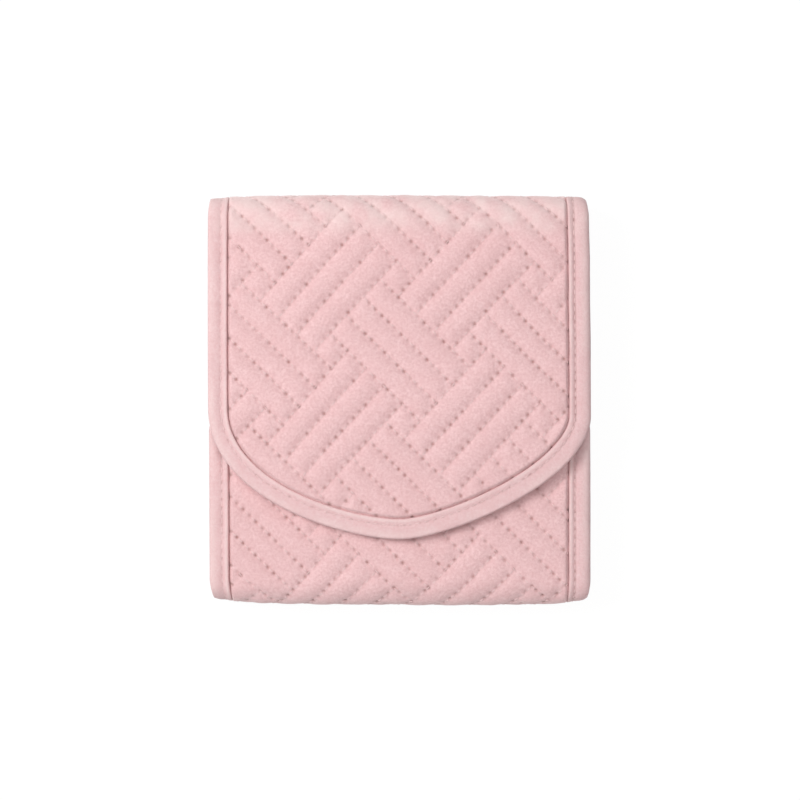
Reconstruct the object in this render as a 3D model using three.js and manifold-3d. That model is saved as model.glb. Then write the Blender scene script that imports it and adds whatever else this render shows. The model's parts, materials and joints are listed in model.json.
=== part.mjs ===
// Travel jewelry organizer: a quilted soft case that folds in three.
// Millimetres. The closed case lies on its back panel: X right, Y towards the top fold, Z up.
//
// The case is one long quilted strip. It runs from the curved flap over the top fold, along the
// back panel, round the bottom fold and up the short front panel under the flap. Each layer is
// laid out flat in strip coordinates, as it is on a cutting table, and then folded:
//   x  across the case
//   s  along the strip, 0 at the middle of the back panel and growing towards the flap
//   d  depth, 0 at the crown of the quilting on the outside and growing towards the inside
import * as THREE from 'three';
import { mergeVertices } from 'three/addons/utils/BufferGeometryUtils.js';
import Module from 'manifold-3d';

const wasm = await Module();
wasm.setup();

// Case
const CASE_WIDTH = 140;
const CASE_LENGTH = 150;
const CASE_THICKNESS = 30;
const FRONT_HEIGHT = 24.2;
const FRONT_LENGTH = 72;
const FRONT_CORNER_RADIUS = 14;
const FRONT_CORNER_STEPS = 5;
const FOLD_RADIUS = 9;
const FOLD_FACETS = 4;
const FOLD_SEAM = 0.5;

// Flap edge: two mirrored curves from the straight sides to the tip
const FLAP_TIP_Y = -51.7;
const FLAP_CURVE_START_Y = -4;
const FLAP_SIDE_PULL = 30;
const FLAP_TIP_PULL = 20;
const FLAP_CURVE_STEPS = 11;

// Layers, from the outside in
const PILLOW_RISE = 1.9;
const QUILT_GROOVE_THICKNESS = 0.7;
const BOARD_THICKNESS = 1;
const LINING_THICKNESS = 0.8;
const BINDING_CLOTH = 0.9;
const BINDING_WIDTH = 7.5;
const BINDING_OUTER_DEPTH = 1.4;
const BINDING_ROUNDING = 0.7;
const LAYER_CLEARANCE = 0.3;
const EDGE_CLEARANCE = 0.1;
const BOARD_MARGIN = 3;

// Quilting: blocks of three strips that pass over and under each other like a basket weave.
// The two directions are the steps from one block to the next, seen from outside the case.
const BLOCK_STEP_RISING = new THREE.Vector2(24.3, 26.4);
const BLOCK_STEP_FALLING = new THREE.Vector2(26.3, -25.8);
const FLAP_BLOCK_ORIGIN = new THREE.Vector2(-45.4, 43.9);
const FRONT_BLOCK_ORIGIN = new THREE.Vector2(4.4, -75.7);
const STRIPS_PER_BLOCK = 3;
const PILLOW_ROUNDING = 3.2;
const PILLOW_ROUNDING_STEPS = 1;
const QUILT_SEAM = 0.3;

// Magnetic snap under the flap
const SNAP_Y = -33;
const SNAP_RADIUS = 7;
const SNAP_PLATE = 0.7;
const SNAP_POST_RADIUS = 2.2;
const SNAP_POST_TAPER = 0.4;
const SNAP_POST_LENGTH = 1.5;
const SNAP_CUP_HEIGHT = 2.4;
const SNAP_CUP_WALL = 0.5;
const SNAP_HOLE_CLEARANCE = 0.6;
const SNAP_STEM_RADIUS = 1.5;
const SNAP_WASHER_THICKNESS = 0.6;
const SNAP_WASHER_GAP = 0.2;
const SNAP_SIDES = 16;

// Zip pocket on the back panel
const ZIP_Y = 0;
const ZIP_MARGIN = 18;
const ZIP_END_STOP = 4;
const ZIP_TOOTH_ROOT = 0.8;
const ZIP_TOOTH_PASSAGE = 1.5;
const ZIP_TOOTH_CORD = 1;
const ZIP_TOOTH_PITCH = 4;
const ZIP_TOOTH_WIDTH = 1.6;
const ZIP_TOOTH_REACH = 1.1;
const ZIP_TOOTH_THICKNESS = 1.5;
const ZIP_TAPE_WIDTH = 5;
const ZIP_TAPE_THICKNESS = 0.6;
const ZIP_SLIDER_LENGTH = 9;
const ZIP_SLIDER_WALL = 0.9;
const ZIP_PULL_LENGTH = 14;
const ZIP_PULL_WIDTH = 4.6;
const ZIP_PULL_THICKNESS = 0.9;
const ZIP_PULL_NECK = 1.6;
const ZIP_SLIDER_GAP = 0.2;
const ZIP_PIN = 0.4;
const ZIP_PULL_EYE_MOUTH = 0.5;
const ZIP_PULL_EYE_STEPS = 4;
const ZIP_PULL_TIP_STEPS = 8;
const ZIP_SEAM_ALLOWANCE = 1;
const POCKET_CLOTH = 1;
const POCKET_BOTTOM_MARGIN = 13;

// Ring bar
const RING_BAR_Y = 17;
const RING_ROLL_RADIUS = 6;
const RING_ROLL_MARGIN = 16;
const RING_ROLL_START = 6;
const RING_ROLL_END_ROUNDING = 1;
const RING_ROLL_STEPS = 9;
const RING_ANCHOR_LENGTH = 9;
const RING_ANCHOR_MARGIN = 1;
const RING_STRAP_WIDTH = 11;
const RING_STRAP_MARGIN = 14;
const STRAP_CLOTH = 0.8;
const STRAP_LIFT = 1;
const STRAP_END_STEPS = 6;

// Press studs on the ring bar and on the necklace tabs
const STUD_RADIUS = 4.2;
const STUD_BASE = 0.4;
const STUD_NUB_RADIUS = 1.6;
const STUD_NUB_HEIGHT = 0.8;
const STUD_CLEARANCE = 0.3;
const STUD_SEAT_GAP = 0.15;
const STUD_CAP_TAPER = 1;
const STUD_SIDES = 10;

// Necklace tabs
const TAB_COUNT = 4;
const TAB_MARGIN = 16;
const TAB_WIDTH = 9;
const TAB_LENGTH = 24;
const TAB_TOP_MARGIN = 19.4;
const TAB_STRIP_WIDTH = 5;
const TAB_STUD_INSET = 4.5;

// Earring page, a leaf that turns on the bottom fold
const PAGE_TOP_Y = -7;
const PAGE_WIDTH = 112;
const PAGE_THICKNESS = 2;
const PAGE_BINDING_CLOTH = 0.5;
const PAGE_BINDING_WIDTH = 4.5;
const PAGE_HINGE_OFFSET = 2.5;
const PAGE_STRIP_CLOTH = 0.4;
const PAGE_TONGUE_GAP = 0.2;
const PAGE_TONGUE_LAP = 1;
const PAGE_CORNER_RADIUS = 8;
const PAGE_CORNER_STEPS = 4;
const PAGE_HOLE_RADIUS = 1.2;
const PAGE_HOLE_SIDES = 6;
const PAGE_HOLE_ROWS = 2;
const PAGE_HOLE_COLUMNS = 7;
const PAGE_HOLE_PITCH = 14;
const PAGE_HOLE_ROW_PITCH = 24;

// Slip pockets on the inside of the flap and of the front panel
const SLIP_POCKET_CLOTH = 0.8;
const FLAP_POCKET_BOTTOM_Y = -24;
const FLAP_POCKET_MARGIN = 31;
const ELASTIC_WIDTH = 3;
const ELASTIC_THICKNESS = 1.6;
const FRONT_POCKET_HEIGHT = 44;

// Tolerances of the mesh work
const MERGE_DISTANCE = 1e-4;
const STATION_TOLERANCE = 1e-3;

// Depths and stations that follow from the sizes above
const HALF_WIDTH = CASE_WIDTH / 2;
const BINDING_OUTER_INSIDE = BINDING_OUTER_DEPTH + BINDING_CLOTH;
const BOARD_DEPTH = PILLOW_RISE + QUILT_GROOVE_THICKNESS;
const QUILT_UNDERSIDE = BOARD_DEPTH + BOARD_THICKNESS;
const LINING_FACE = QUILT_UNDERSIDE + LINING_THICKNESS;
const BINDING_INNER_FACE = LINING_FACE + BINDING_CLOTH;
const STRAIGHT = CASE_LENGTH / 2 - FOLD_RADIUS;
const QUARTER_TURN = (Math.PI / 2) * FOLD_RADIUS;
const TOP_WALL = CASE_THICKNESS - 2 * FOLD_RADIUS;
const BOTTOM_WALL = FRONT_HEIGHT - 2 * FOLD_RADIUS;
const ZIP_LENGTH = CASE_WIDTH - 2 * ZIP_MARGIN;
const TAB_PITCH = (CASE_WIDTH - 2 * TAB_MARGIN) / TAB_COUNT;
const RING_STRAP_LENGTH = CASE_WIDTH - 2 * RING_STRAP_MARGIN;
const RING_ROLL_LENGTH = RING_STRAP_LENGTH - RING_ROLL_START - RING_ROLL_MARGIN;
const BACK_SEAM = STRAIGHT + QUARTER_TURN / 2;
const FLAP_SEAM = STRAIGHT + 1.5 * QUARTER_TURN + TOP_WALL;
const FRONT_SEAM = STRAIGHT + 1.5 * QUARTER_TURN + BOTTOM_WALL;
const FLAP_TURN = 2 * STRAIGHT + 2 * QUARTER_TURN + TOP_WALL;
const FRONT_TURN = 2 * STRAIGHT + 2 * QUARTER_TURN + BOTTOM_WALL;
const FRONT_EDGE_Y = -CASE_LENGTH / 2 + FRONT_LENGTH;
const POCKET_BOTTOM_Y = -CASE_LENGTH / 2 + POCKET_BOTTOM_MARGIN;
const TAB_ROOT_Y = CASE_LENGTH / 2 - TAB_TOP_MARGIN;
const FLAP_POCKET_TOP_Y = CASE_LENGTH / 2 - FLAP_POCKET_MARGIN;
const QUILT_INSET = BINDING_CLOTH + EDGE_CLEARANCE;
const FIELD_INSET = BINDING_WIDTH + LAYER_CLEARANCE;
const BOARD_INSET = FIELD_INSET + BOARD_MARGIN;
const BOARD_END = STRAIGHT - BOARD_MARGIN;

// Stations on the strip of a point seen at height y on the closed flap or front panel
function flapStation(y) {
  return FLAP_TURN - y;
}

function frontStation(y) {
  return -FRONT_TURN - y;
}

// Materials
function cloth(hex, roughness = 0.95) {
  return new THREE.MeshStandardMaterial({ color: hex, roughness, metalness: 0 });
}

const VELVET = cloth(0xeec4c5);
const LINING_VELVET = cloth(0xe9bcbf);
const BINDING_VELVET = cloth(0xedc6c8);
const FOAM = cloth(0xf3dede);
const BOARD = cloth(0xb9a58c, 0.9);
const ELASTIC = cloth(0xe3aeb4, 0.85);
const ZIP_TAPE = cloth(0xe6b4b9, 0.8);
const GOLD = new THREE.MeshStandardMaterial({ color: 0xd9b06c, roughness: 0.3, metalness: 1 });
const STEEL = new THREE.MeshStandardMaterial({ color: 0xb9bcc0, roughness: 0.4, metalness: 1 });

// Solid helpers
function positionsOnly(geometry) {
  const bare = new THREE.BufferGeometry();
  bare.setAttribute('position', geometry.getAttribute('position').clone());
  if (geometry.index) {
    bare.setIndex(geometry.index.clone());
  }
  return mergeVertices(bare, MERGE_DISTANCE);
}

function toSolid(geometry) {
  const merged = positionsOnly(geometry);
  return new wasm.Manifold(new wasm.Mesh({
    numProp: 3,
    vertProperties: new Float32Array(merged.getAttribute('position').array),
    triVerts: new Uint32Array(merged.index.array),
  }));
}

function toGeometry(solid) {
  const mesh = solid.getMesh();
  const geometry = new THREE.BufferGeometry();
  geometry.setAttribute('position', new THREE.BufferAttribute(new Float32Array(mesh.vertProperties), 3));
  geometry.setIndex(Array.from(mesh.triVerts));
  return geometry;
}

function subtractAll(solid, cutters) {
  return cutters.reduce((rest, cutter) => rest.subtract(toSolid(cutter)), solid);
}

function prism(points, from, to) {
  const shape = new THREE.Shape(points);
  return new THREE.ExtrudeGeometry(shape, { depth: to - from, bevelEnabled: false }).translate(0, 0, from);
}

function slab(xFrom, xTo, yFrom, yTo, zFrom, zTo) {
  const geometry = new THREE.BoxGeometry(xTo - xFrom, yTo - yFrom, zTo - zFrom);
  return geometry.translate((xFrom + xTo) / 2, (yFrom + yTo) / 2, (zFrom + zTo) / 2);
}

// A turned piece: profile points are (radius, height) and the axis stands along Z
function turned(profile, x, y, sides) {
  const points = profile.map(([radius, height]) => new THREE.Vector2(radius, height));
  const geometry = new THREE.LatheGeometry(points, sides).rotateX(Math.PI / 2);
  return outward(positionsOnly(geometry.translate(x, y, 0)));
}

function disc(radius, x, y, from, to, sides) {
  return turned([[0, from], [radius, from], [radius, to], [0, to]], x, y, sides);
}

function signedVolume(geometry) {
  const position = geometry.getAttribute('position');
  const index = geometry.index.array;
  const [a, b, c] = [new THREE.Vector3(), new THREE.Vector3(), new THREE.Vector3()];
  let volume = 0;
  for (let i = 0; i < index.length; i += 3) {
    a.fromBufferAttribute(position, index[i]);
    b.fromBufferAttribute(position, index[i + 1]);
    c.fromBufferAttribute(position, index[i + 2]);
    volume += a.dot(b.cross(c)) / 6;
  }
  return volume;
}

// Drops the triangles that collapsed to a line on a lathe's axis and turns the faces outward
function outward(geometry) {
  const source = geometry.index.array;
  const kept = [];
  const flip = signedVolume(geometry) < 0;
  for (let i = 0; i < source.length; i += 3) {
    const [a, b, c] = [source[i], source[i + 1], source[i + 2]];
    if (a !== b && b !== c && c !== a) {
      kept.push(...(flip ? [a, c, b] : [a, b, c]));
    }
  }
  geometry.setIndex(kept);
  return geometry;
}

// Sweeps a closed section along an edge. A section point is (inset from the edge, depth).
function sweepAlongEdge(section, edge) {
  const vertices = [];
  for (const { point, inward } of edge) {
    for (const [inset, depth] of section) {
      vertices.push(point.x + inward.x * inset, point.y + inward.y * inset, depth);
    }
  }
  const count = section.length;
  const index = [];
  for (let i = 0; i + 1 < edge.length; i += 1) {
    for (let j = 0; j < count; j += 1) {
      const a = i * count + j;
      const b = i * count + ((j + 1) % count);
      index.push(a, b, a + count, b, b + count, a + count);
    }
  }
  const end = section.map(([u, v]) => new THREE.Vector2(u, v));
  const cap = THREE.ShapeUtils.triangulateShape(end, []);
  const last = (edge.length - 1) * count;
  for (const [a, b, c] of cap) {
    index.push(a, c, b, a + last, b + last, c + last);
  }
  const geometry = new THREE.BufferGeometry();
  geometry.setAttribute('position', new THREE.BufferAttribute(new Float32Array(vertices), 3));
  geometry.setIndex(index);
  return outward(geometry);
}

// Folding
function foldPoint(x, s, d) {
  const side = s < 0 ? -1 : 1;
  const height = side > 0 ? CASE_THICKNESS : FRONT_HEIGHT;
  const wall = side > 0 ? TOP_WALL : BOTTOM_WALL;
  const radius = FOLD_RADIUS - d;
  let run = Math.abs(s) - STRAIGHT;
  if (run <= 0) {
    return [x, s, d];
  }
  if (run < QUARTER_TURN) {
    const angle = run / FOLD_RADIUS;
    return [x, side * (STRAIGHT + radius * Math.sin(angle)), FOLD_RADIUS - radius * Math.cos(angle)];
  }
  run -= QUARTER_TURN;
  if (run <= wall) {
    return [x, side * (STRAIGHT + radius), FOLD_RADIUS + run];
  }
  run -= wall;
  if (run < QUARTER_TURN) {
    const angle = run / FOLD_RADIUS;
    const rise = height - FOLD_RADIUS + radius * Math.sin(angle);
    return [x, side * (STRAIGHT + radius * Math.cos(angle)), rise];
  }
  return [x, side * (STRAIGHT - (run - QUARTER_TURN)), height - d];
}

// The stations at which a folded layer gets a row of vertices
function foldStations() {
  const stations = [];
  for (const [side, wall] of [[1, TOP_WALL], [-1, BOTTOM_WALL]]) {
    for (let i = 0; i <= FOLD_FACETS; i += 1) {
      const turn = (QUARTER_TURN * i) / FOLD_FACETS;
      stations.push(side * (STRAIGHT + turn), side * (STRAIGHT + QUARTER_TURN + wall + turn));
    }
  }
  return stations;
}

// Splits every triangle that crosses the line s = station, so that the layer can bend there
function splitAtStation(vertices, triangles, station) {
  const made = new Map();
  const side = (v) => {
    const offset = vertices[v][1] - station;
    return Math.abs(offset) < STATION_TOLERANCE ? 0 : Math.sign(offset);
  };
  const crossing = (a, b) => {
    const key = a < b ? `${a}_${b}` : `${b}_${a}`;
    if (!made.has(key)) {
      const [low, high] = a < b ? [vertices[a], vertices[b]] : [vertices[b], vertices[a]];
      const t = (station - low[1]) / (high[1] - low[1]);
      const [x, d] = [low[0] + t * (high[0] - low[0]), low[2] + t * (high[2] - low[2])];
      made.set(key, vertices.push([x, station, d]) - 1);
    }
    return made.get(key);
  };
  const split = [];
  for (const triangle of triangles) {
    const sides = triangle.map(side);
    if (!(sides.includes(1) && sides.includes(-1))) {
      split.push(triangle);
      continue;
    }
    const lone = sides.includes(0)
      ? sides.indexOf(0)
      : sides.findIndex((value) => sides.filter((other) => other === value).length === 1);
    const [a, b, c] = [triangle[lone], triangle[(lone + 1) % 3], triangle[(lone + 2) % 3]];
    if (sides.includes(0)) {
      const middle = crossing(b, c);
      split.push([a, b, middle], [a, middle, c]);
    } else {
      const ab = crossing(a, b);
      const ac = crossing(a, c);
      split.push([a, ab, ac], [ab, b, c], [ab, c, ac]);
    }
  }
  return split;
}

function fold(flat) {
  const merged = positionsOnly(flat);
  const position = merged.getAttribute('position');
  const vertices = [];
  for (let i = 0; i < position.count; i += 1) {
    vertices.push([position.getX(i), position.getY(i), position.getZ(i)]);
  }
  let triangles = [];
  for (let i = 0; i < merged.index.count; i += 3) {
    triangles.push([merged.index.getX(i), merged.index.getX(i + 1), merged.index.getX(i + 2)]);
  }
  for (const station of foldStations()) {
    triangles = splitAtStation(vertices, triangles, station);
  }
  const geometry = new THREE.BufferGeometry();
  const folded = vertices.flatMap(([x, s, d]) => foldPoint(x, s, d));
  geometry.setAttribute('position', new THREE.BufferAttribute(new Float32Array(folded), 3));
  geometry.setIndex(triangles.flat());
  return outward(geometry);
}

// Panel edges in strip coordinates. Each frame holds a point and the direction into the panel.
function frame(x, s, inX, inS) {
  return { point: new THREE.Vector2(x, s), inward: new THREE.Vector2(inX, inS).normalize() };
}

function sideEdge(side, from, to) {
  return [frame(side * HALF_WIDTH, from, -side, 0), frame(side * HALF_WIDTH, to, -side, 0)];
}

function flapEdge() {
  const half = new THREE.CubicBezierCurve(
    new THREE.Vector2(HALF_WIDTH, FLAP_CURVE_START_Y),
    new THREE.Vector2(HALF_WIDTH, FLAP_CURVE_START_Y - FLAP_SIDE_PULL),
    new THREE.Vector2(FLAP_TIP_PULL, FLAP_TIP_Y),
    new THREE.Vector2(0, FLAP_TIP_Y),
  );
  const right = [];
  for (let i = 0; i <= FLAP_CURVE_STEPS; i += 1) {
    const point = half.getPointAt(i / FLAP_CURVE_STEPS);
    const along = half.getTangentAt(i / FLAP_CURVE_STEPS);
    right.push(frame(point.x, flapStation(point.y), along.y, along.x));
  }
  const left = right.slice(0, -1)
    .map(({ point, inward }) => frame(-point.x, point.y, -inward.x, inward.y));
  const start = FLAP_SEAM + FOLD_SEAM / 2;
  return [frame(-HALF_WIDTH, start, 1, 0), ...left, ...right.reverse(), frame(HALF_WIDTH, start, -1, 0)];
}

// An edge round three sides of a rectangle, with rounded far corners
function roundedEdge(halfWidth, start, end, radius, steps) {
  const way = Math.sign(end - start);
  const corner = [];
  for (let i = 0; i <= steps; i += 1) {
    const angle = (i / steps) * (Math.PI / 2);
    const across = halfWidth - radius + radius * Math.cos(angle);
    const along = end - way * (radius - radius * Math.sin(angle));
    corner.push([across, along, Math.cos(angle), way * Math.sin(angle)]);
  }
  const right = corner.map(([x, s, outX, outS]) => frame(x, s, -outX, -outS));
  const left = corner.map(([x, s, outX, outS]) => frame(-x, s, outX, -outS)).reverse();
  return [frame(halfWidth, start, -1, 0), ...right, ...left, frame(-halfWidth, start, 1, 0)];
}

function frontEdge() {
  const start = -FRONT_SEAM - FOLD_SEAM / 2;
  const end = frontStation(FRONT_EDGE_Y);
  return roundedEdge(HALF_WIDTH, start, end, FRONT_CORNER_RADIUS, FRONT_CORNER_STEPS);
}

function insetOutline(edge, inset) {
  return edge.map(({ point, inward }) => point.clone().addScaledVector(inward, inset));
}

function stripOutline(inset, from, to) {
  const x = HALF_WIDTH - inset;
  return [[-x, from], [x, from], [x, to], [-x, to]].map(([a, b]) => new THREE.Vector2(a, b));
}

// A panel is a stretch of the strip: its outline at any inset, its range, the ranges that are
// quilted and stiffened with board, and its quilt pattern
const FLAP = {
  outline: (inset) => insetOutline(flapEdge(), inset),
  from: FLAP_SEAM,
  to: flapStation(FLAP_TIP_Y),
  quilted: [FLAP_SEAM, flapStation(FLAP_TIP_Y)],
  stiff: [flapStation(BOARD_END), flapStation(FLAP_TIP_Y)],
  blocks: FLAP_BLOCK_ORIGIN,
  station: flapStation,
};
const FRONT = {
  outline: (inset) => insetOutline(frontEdge(), inset),
  from: frontStation(FRONT_EDGE_Y),
  to: -FRONT_SEAM,
  quilted: [frontStation(FRONT_EDGE_Y), -FRONT_SEAM],
  stiff: [frontStation(FRONT_EDGE_Y), frontStation(-BOARD_END)],
  blocks: FRONT_BLOCK_ORIGIN,
  station: frontStation,
};

function straightStretch(from, to) {
  const [low, high] = [from + FOLD_SEAM / 2, to - FOLD_SEAM / 2];
  const outline = (inset) => stripOutline(inset, low, high);
  return { ...FLAP, outline, from, to, quilted: null, stiff: null };
}

const BACK = {
  ...straightStretch(-BACK_SEAM, BACK_SEAM),
  quilted: [-STRAIGHT, STRAIGHT],
  stiff: [-BOARD_END, BOARD_END],
};
const TOP_SPINE = straightStretch(BACK_SEAM, FLAP_SEAM);
const BOTTOM_SPINE = straightStretch(-FRONT_SEAM, -BACK_SEAM);

// Quilting
function blockPoint(panel, u, v) {
  const seen = panel.blocks.clone();
  seen.addScaledVector(BLOCK_STEP_RISING, u).addScaledVector(BLOCK_STEP_FALLING, v);
  return new THREE.Vector2(seen.x, panel.station(seen.y));
}

// Rectangles in block steps: three long strips a block, and the small square between blocks
function blockCells(i, j) {
  const width = 1 / (STRIPS_PER_BLOCK + 1);
  const rising = (i + j) % 2 === 0;
  const cells = [];
  for (let k = 0; k < STRIPS_PER_BLOCK; k += 1) {
    const across = [k * width, (k + 1) * width];
    const along = [-width, 1];
    cells.push(rising ? [along, across] : [across, along]);
  }
  cells.push([[1 - width, 1], [1 - width, 1]]);
  const corners = ([[u0, u1], [v0, v1]]) => [[u0, v0], [u1, v0], [u1, v1], [u0, v1]];
  return cells.map((cell) => corners(cell).map(([u, v]) => [i + u, j + v]));
}

function pillow(corners) {
  const geometry = new THREE.ExtrudeGeometry(new THREE.Shape(corners), {
    depth: QUILT_SEAM,
    bevelThickness: PILLOW_RISE,
    bevelSize: PILLOW_ROUNDING,
    bevelOffset: -PILLOW_ROUNDING - QUILT_SEAM / 2,
    bevelSegments: PILLOW_ROUNDING_STEPS,
  });
  return geometry.translate(0, 0, PILLOW_RISE);
}

function pillows(panel) {
  const found = [];
  const reach = Math.ceil((CASE_WIDTH + CASE_LENGTH) / BLOCK_STEP_RISING.length());
  for (let i = -reach; i <= reach; i += 1) {
    for (let j = -reach; j <= reach; j += 1) {
      for (const cell of blockCells(i, j)) {
        const corners = cell.map(([u, v]) => blockPoint(panel, u, v));
        const stations = corners.map(({ y }) => y);
        const acrosses = corners.map(({ x }) => x);
        const inside = Math.max(...stations) > panel.from && Math.min(...stations) < panel.to
          && Math.max(...acrosses) > -HALF_WIDTH && Math.min(...acrosses) < HALF_WIDTH;
        if (inside) {
          found.push(toSolid(pillow(corners)));
        }
      }
    }
  }
  return wasm.Manifold.union(found);
}

// The stiffening board ends before the seams and before the folds
function boardSolid(panel, margin, from, to) {
  const [low, high] = panel.stiff;
  const outline = toSolid(prism(panel.outline(BOARD_INSET - margin), from, to));
  const range = slab(-HALF_WIDTH, HALF_WIDTH, low - margin, high + margin, from, to);
  return outline.intersect(toSolid(range));
}

// The crown of a panel is quilted where the cloth lies flat, and pulled smooth over the folds
function quiltCrown(panel) {
  const field = toSolid(prism(panel.outline(FIELD_INSET), 0, PILLOW_RISE + QUILT_GROOVE_THICKNESS / 2));
  if (!panel.quilted) {
    return field;
  }
  const [from, to] = panel.quilted;
  const flat = toSolid(slab(-CASE_WIDTH, CASE_WIDTH, from, to, -1, CASE_THICKNESS));
  return pillows(panel).intersect(flat).intersect(field).add(field.subtract(flat));
}

function quilt(panel, cutters = []) {
  const base = toSolid(prism(panel.outline(FIELD_INSET), PILLOW_RISE, QUILT_UNDERSIDE));
  const border = toSolid(prism(panel.outline(QUILT_INSET), BINDING_OUTER_INSIDE, QUILT_UNDERSIDE));
  let solid = quiltCrown(panel).add(base).add(border);
  if (panel.stiff) {
    solid = solid.subtract(boardSolid(panel, LAYER_CLEARANCE, BOARD_DEPTH, CASE_THICKNESS));
  }
  return fold(toGeometry(subtractAll(solid, cutters)));
}

function board(panel, cutters = []) {
  return fold(toGeometry(subtractAll(boardSolid(panel, 0, BOARD_DEPTH, QUILT_UNDERSIDE), cutters)));
}

function lining(panel, cutters = []) {
  const sheet = toSolid(prism(panel.outline(QUILT_INSET), QUILT_UNDERSIDE, LINING_FACE));
  return fold(toGeometry(subtractAll(sheet, cutters)));
}

// The binding is a folded strip of cloth: an outer leg, the turn at the edge and an inner leg
function bindingSection(width, outer, inner, thickness, rounding) {
  return [
    [rounding, outer], [width, outer], [width, outer + thickness], [thickness, outer + thickness],
    [thickness, inner - thickness], [width, inner - thickness], [width, inner],
    [rounding, inner], [0, inner - rounding], [0, outer + rounding],
  ];
}

function binding(edge) {
  const section = bindingSection(
    BINDING_WIDTH,
    BINDING_OUTER_DEPTH,
    BINDING_INNER_FACE,
    BINDING_CLOTH,
    BINDING_ROUNDING,
  );
  return fold(sweepAlongEdge(section, edge));
}

function stretchBinding(panel, side) {
  return binding(sideEdge(side, panel.from + FOLD_SEAM / 2, panel.to - FOLD_SEAM / 2));
}

// Magnetic snap, laid out flat on the flap and the front panel and folded with them
const FLAP_SNAP_S = flapStation(SNAP_Y);
const FRONT_SNAP_S = frontStation(SNAP_Y);
const WASHER_DEPTH = BOARD_DEPTH + SNAP_WASHER_GAP;
const STEM_HOLE = SNAP_STEM_RADIUS + LAYER_CLEARANCE;
const SNAP_HOLE = SNAP_RADIUS + LAYER_CLEARANCE;

function snapPost() {
  const plate = LINING_FACE + SNAP_PLATE;
  const tip = plate + SNAP_POST_LENGTH;
  return fold(turned([
    [0, WASHER_DEPTH + SNAP_WASHER_THICKNESS], [SNAP_STEM_RADIUS, WASHER_DEPTH + SNAP_WASHER_THICKNESS],
    [SNAP_STEM_RADIUS, LINING_FACE], [SNAP_RADIUS, LINING_FACE], [SNAP_RADIUS, plate],
    [SNAP_POST_RADIUS, plate], [SNAP_POST_RADIUS - SNAP_POST_TAPER, tip], [0, tip],
  ], 0, FLAP_SNAP_S, SNAP_SIDES));
}

function snapCup() {
  const top = PILLOW_RISE - SNAP_CUP_HEIGHT;
  const hole = SNAP_POST_RADIUS + SNAP_HOLE_CLEARANCE;
  const floor = top + SNAP_POST_LENGTH + EDGE_CLEARANCE;
  return fold(turned([
    [0, floor], [hole, floor], [hole, top], [SNAP_RADIUS, top], [SNAP_RADIUS, PILLOW_RISE],
    [SNAP_RADIUS - SNAP_CUP_WALL, PILLOW_RISE], [SNAP_RADIUS - SNAP_CUP_WALL, top + SNAP_CUP_WALL],
    [hole + SNAP_CUP_WALL, top + SNAP_CUP_WALL], [hole + SNAP_CUP_WALL, floor + SNAP_CUP_WALL],
    [SNAP_STEM_RADIUS, floor + SNAP_CUP_WALL], [SNAP_STEM_RADIUS, WASHER_DEPTH], [0, WASHER_DEPTH],
  ], 0, FRONT_SNAP_S, SNAP_SIDES));
}

function snapMagnet() {
  const top = PILLOW_RISE - SNAP_CUP_HEIGHT + SNAP_CUP_WALL;
  const inner = SNAP_POST_RADIUS + SNAP_HOLE_CLEARANCE + SNAP_CUP_WALL + EDGE_CLEARANCE;
  const outer = SNAP_RADIUS - SNAP_CUP_WALL - EDGE_CLEARANCE;
  return fold(turned([
    [inner, top], [outer, top], [outer, PILLOW_RISE], [inner, PILLOW_RISE], [inner, top],
  ], 0, FRONT_SNAP_S, SNAP_SIDES));
}

function snapWasher(s) {
  return fold(disc(SNAP_RADIUS, 0, s, WASHER_DEPTH, WASHER_DEPTH + SNAP_WASHER_THICKNESS, SNAP_SIDES));
}

function throughHole(radius, s) {
  return disc(radius, 0, s, -CASE_THICKNESS, CASE_THICKNESS, SNAP_SIDES);
}

// Slip pockets
function flapPocket() {
  const area = toSolid(prism(FLAP.outline(FIELD_INSET), LINING_FACE, LINING_FACE + SLIP_POCKET_CLOTH));
  const [low, high] = [flapStation(FLAP_POCKET_TOP_Y), flapStation(FLAP_POCKET_BOTTOM_Y)];
  const window = slab(-CASE_WIDTH, CASE_WIDTH, low, high, 0, CASE_THICKNESS);
  return fold(toGeometry(area.intersect(toSolid(window))));
}

function flapPocketElastic() {
  const x = HALF_WIDTH - FIELD_INSET;
  const top = flapStation(FLAP_POCKET_TOP_Y);
  return fold(slab(-x, x, top - ELASTIC_WIDTH, top, LINING_FACE, LINING_FACE + ELASTIC_THICKNESS));
}

function frontPocket() {
  const bottom = frontStation(-BOARD_END);
  const x = HALF_WIDTH - FIELD_INSET;
  const face = LINING_FACE + SLIP_POCKET_CLOTH;
  return fold(slab(-x, x, bottom - FRONT_POCKET_HEIGHT, bottom, LINING_FACE, face));
}

// Zip pocket on the back panel. The back panel's strip coordinates are the world's.
const POCKET_FACE = LINING_FACE + POCKET_CLOTH;
const ZIP_OPENING = ZIP_TOOTH_REACH + ZIP_TOOTH_PASSAGE;

function zipPocketPanel() {
  const x = HALF_WIDTH - FIELD_INSET;
  return slab(-x, x, POCKET_BOTTOM_Y, ZIP_Y - ZIP_OPENING, LINING_FACE, POCKET_FACE);
}

function zipTopStrip() {
  const x = HALF_WIDTH - FIELD_INSET;
  const top = ZIP_Y + ZIP_TAPE_WIDTH + ZIP_SEAM_ALLOWANCE;
  return slab(-x, x, ZIP_Y + ZIP_OPENING, top, LINING_FACE, POCKET_FACE);
}

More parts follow.
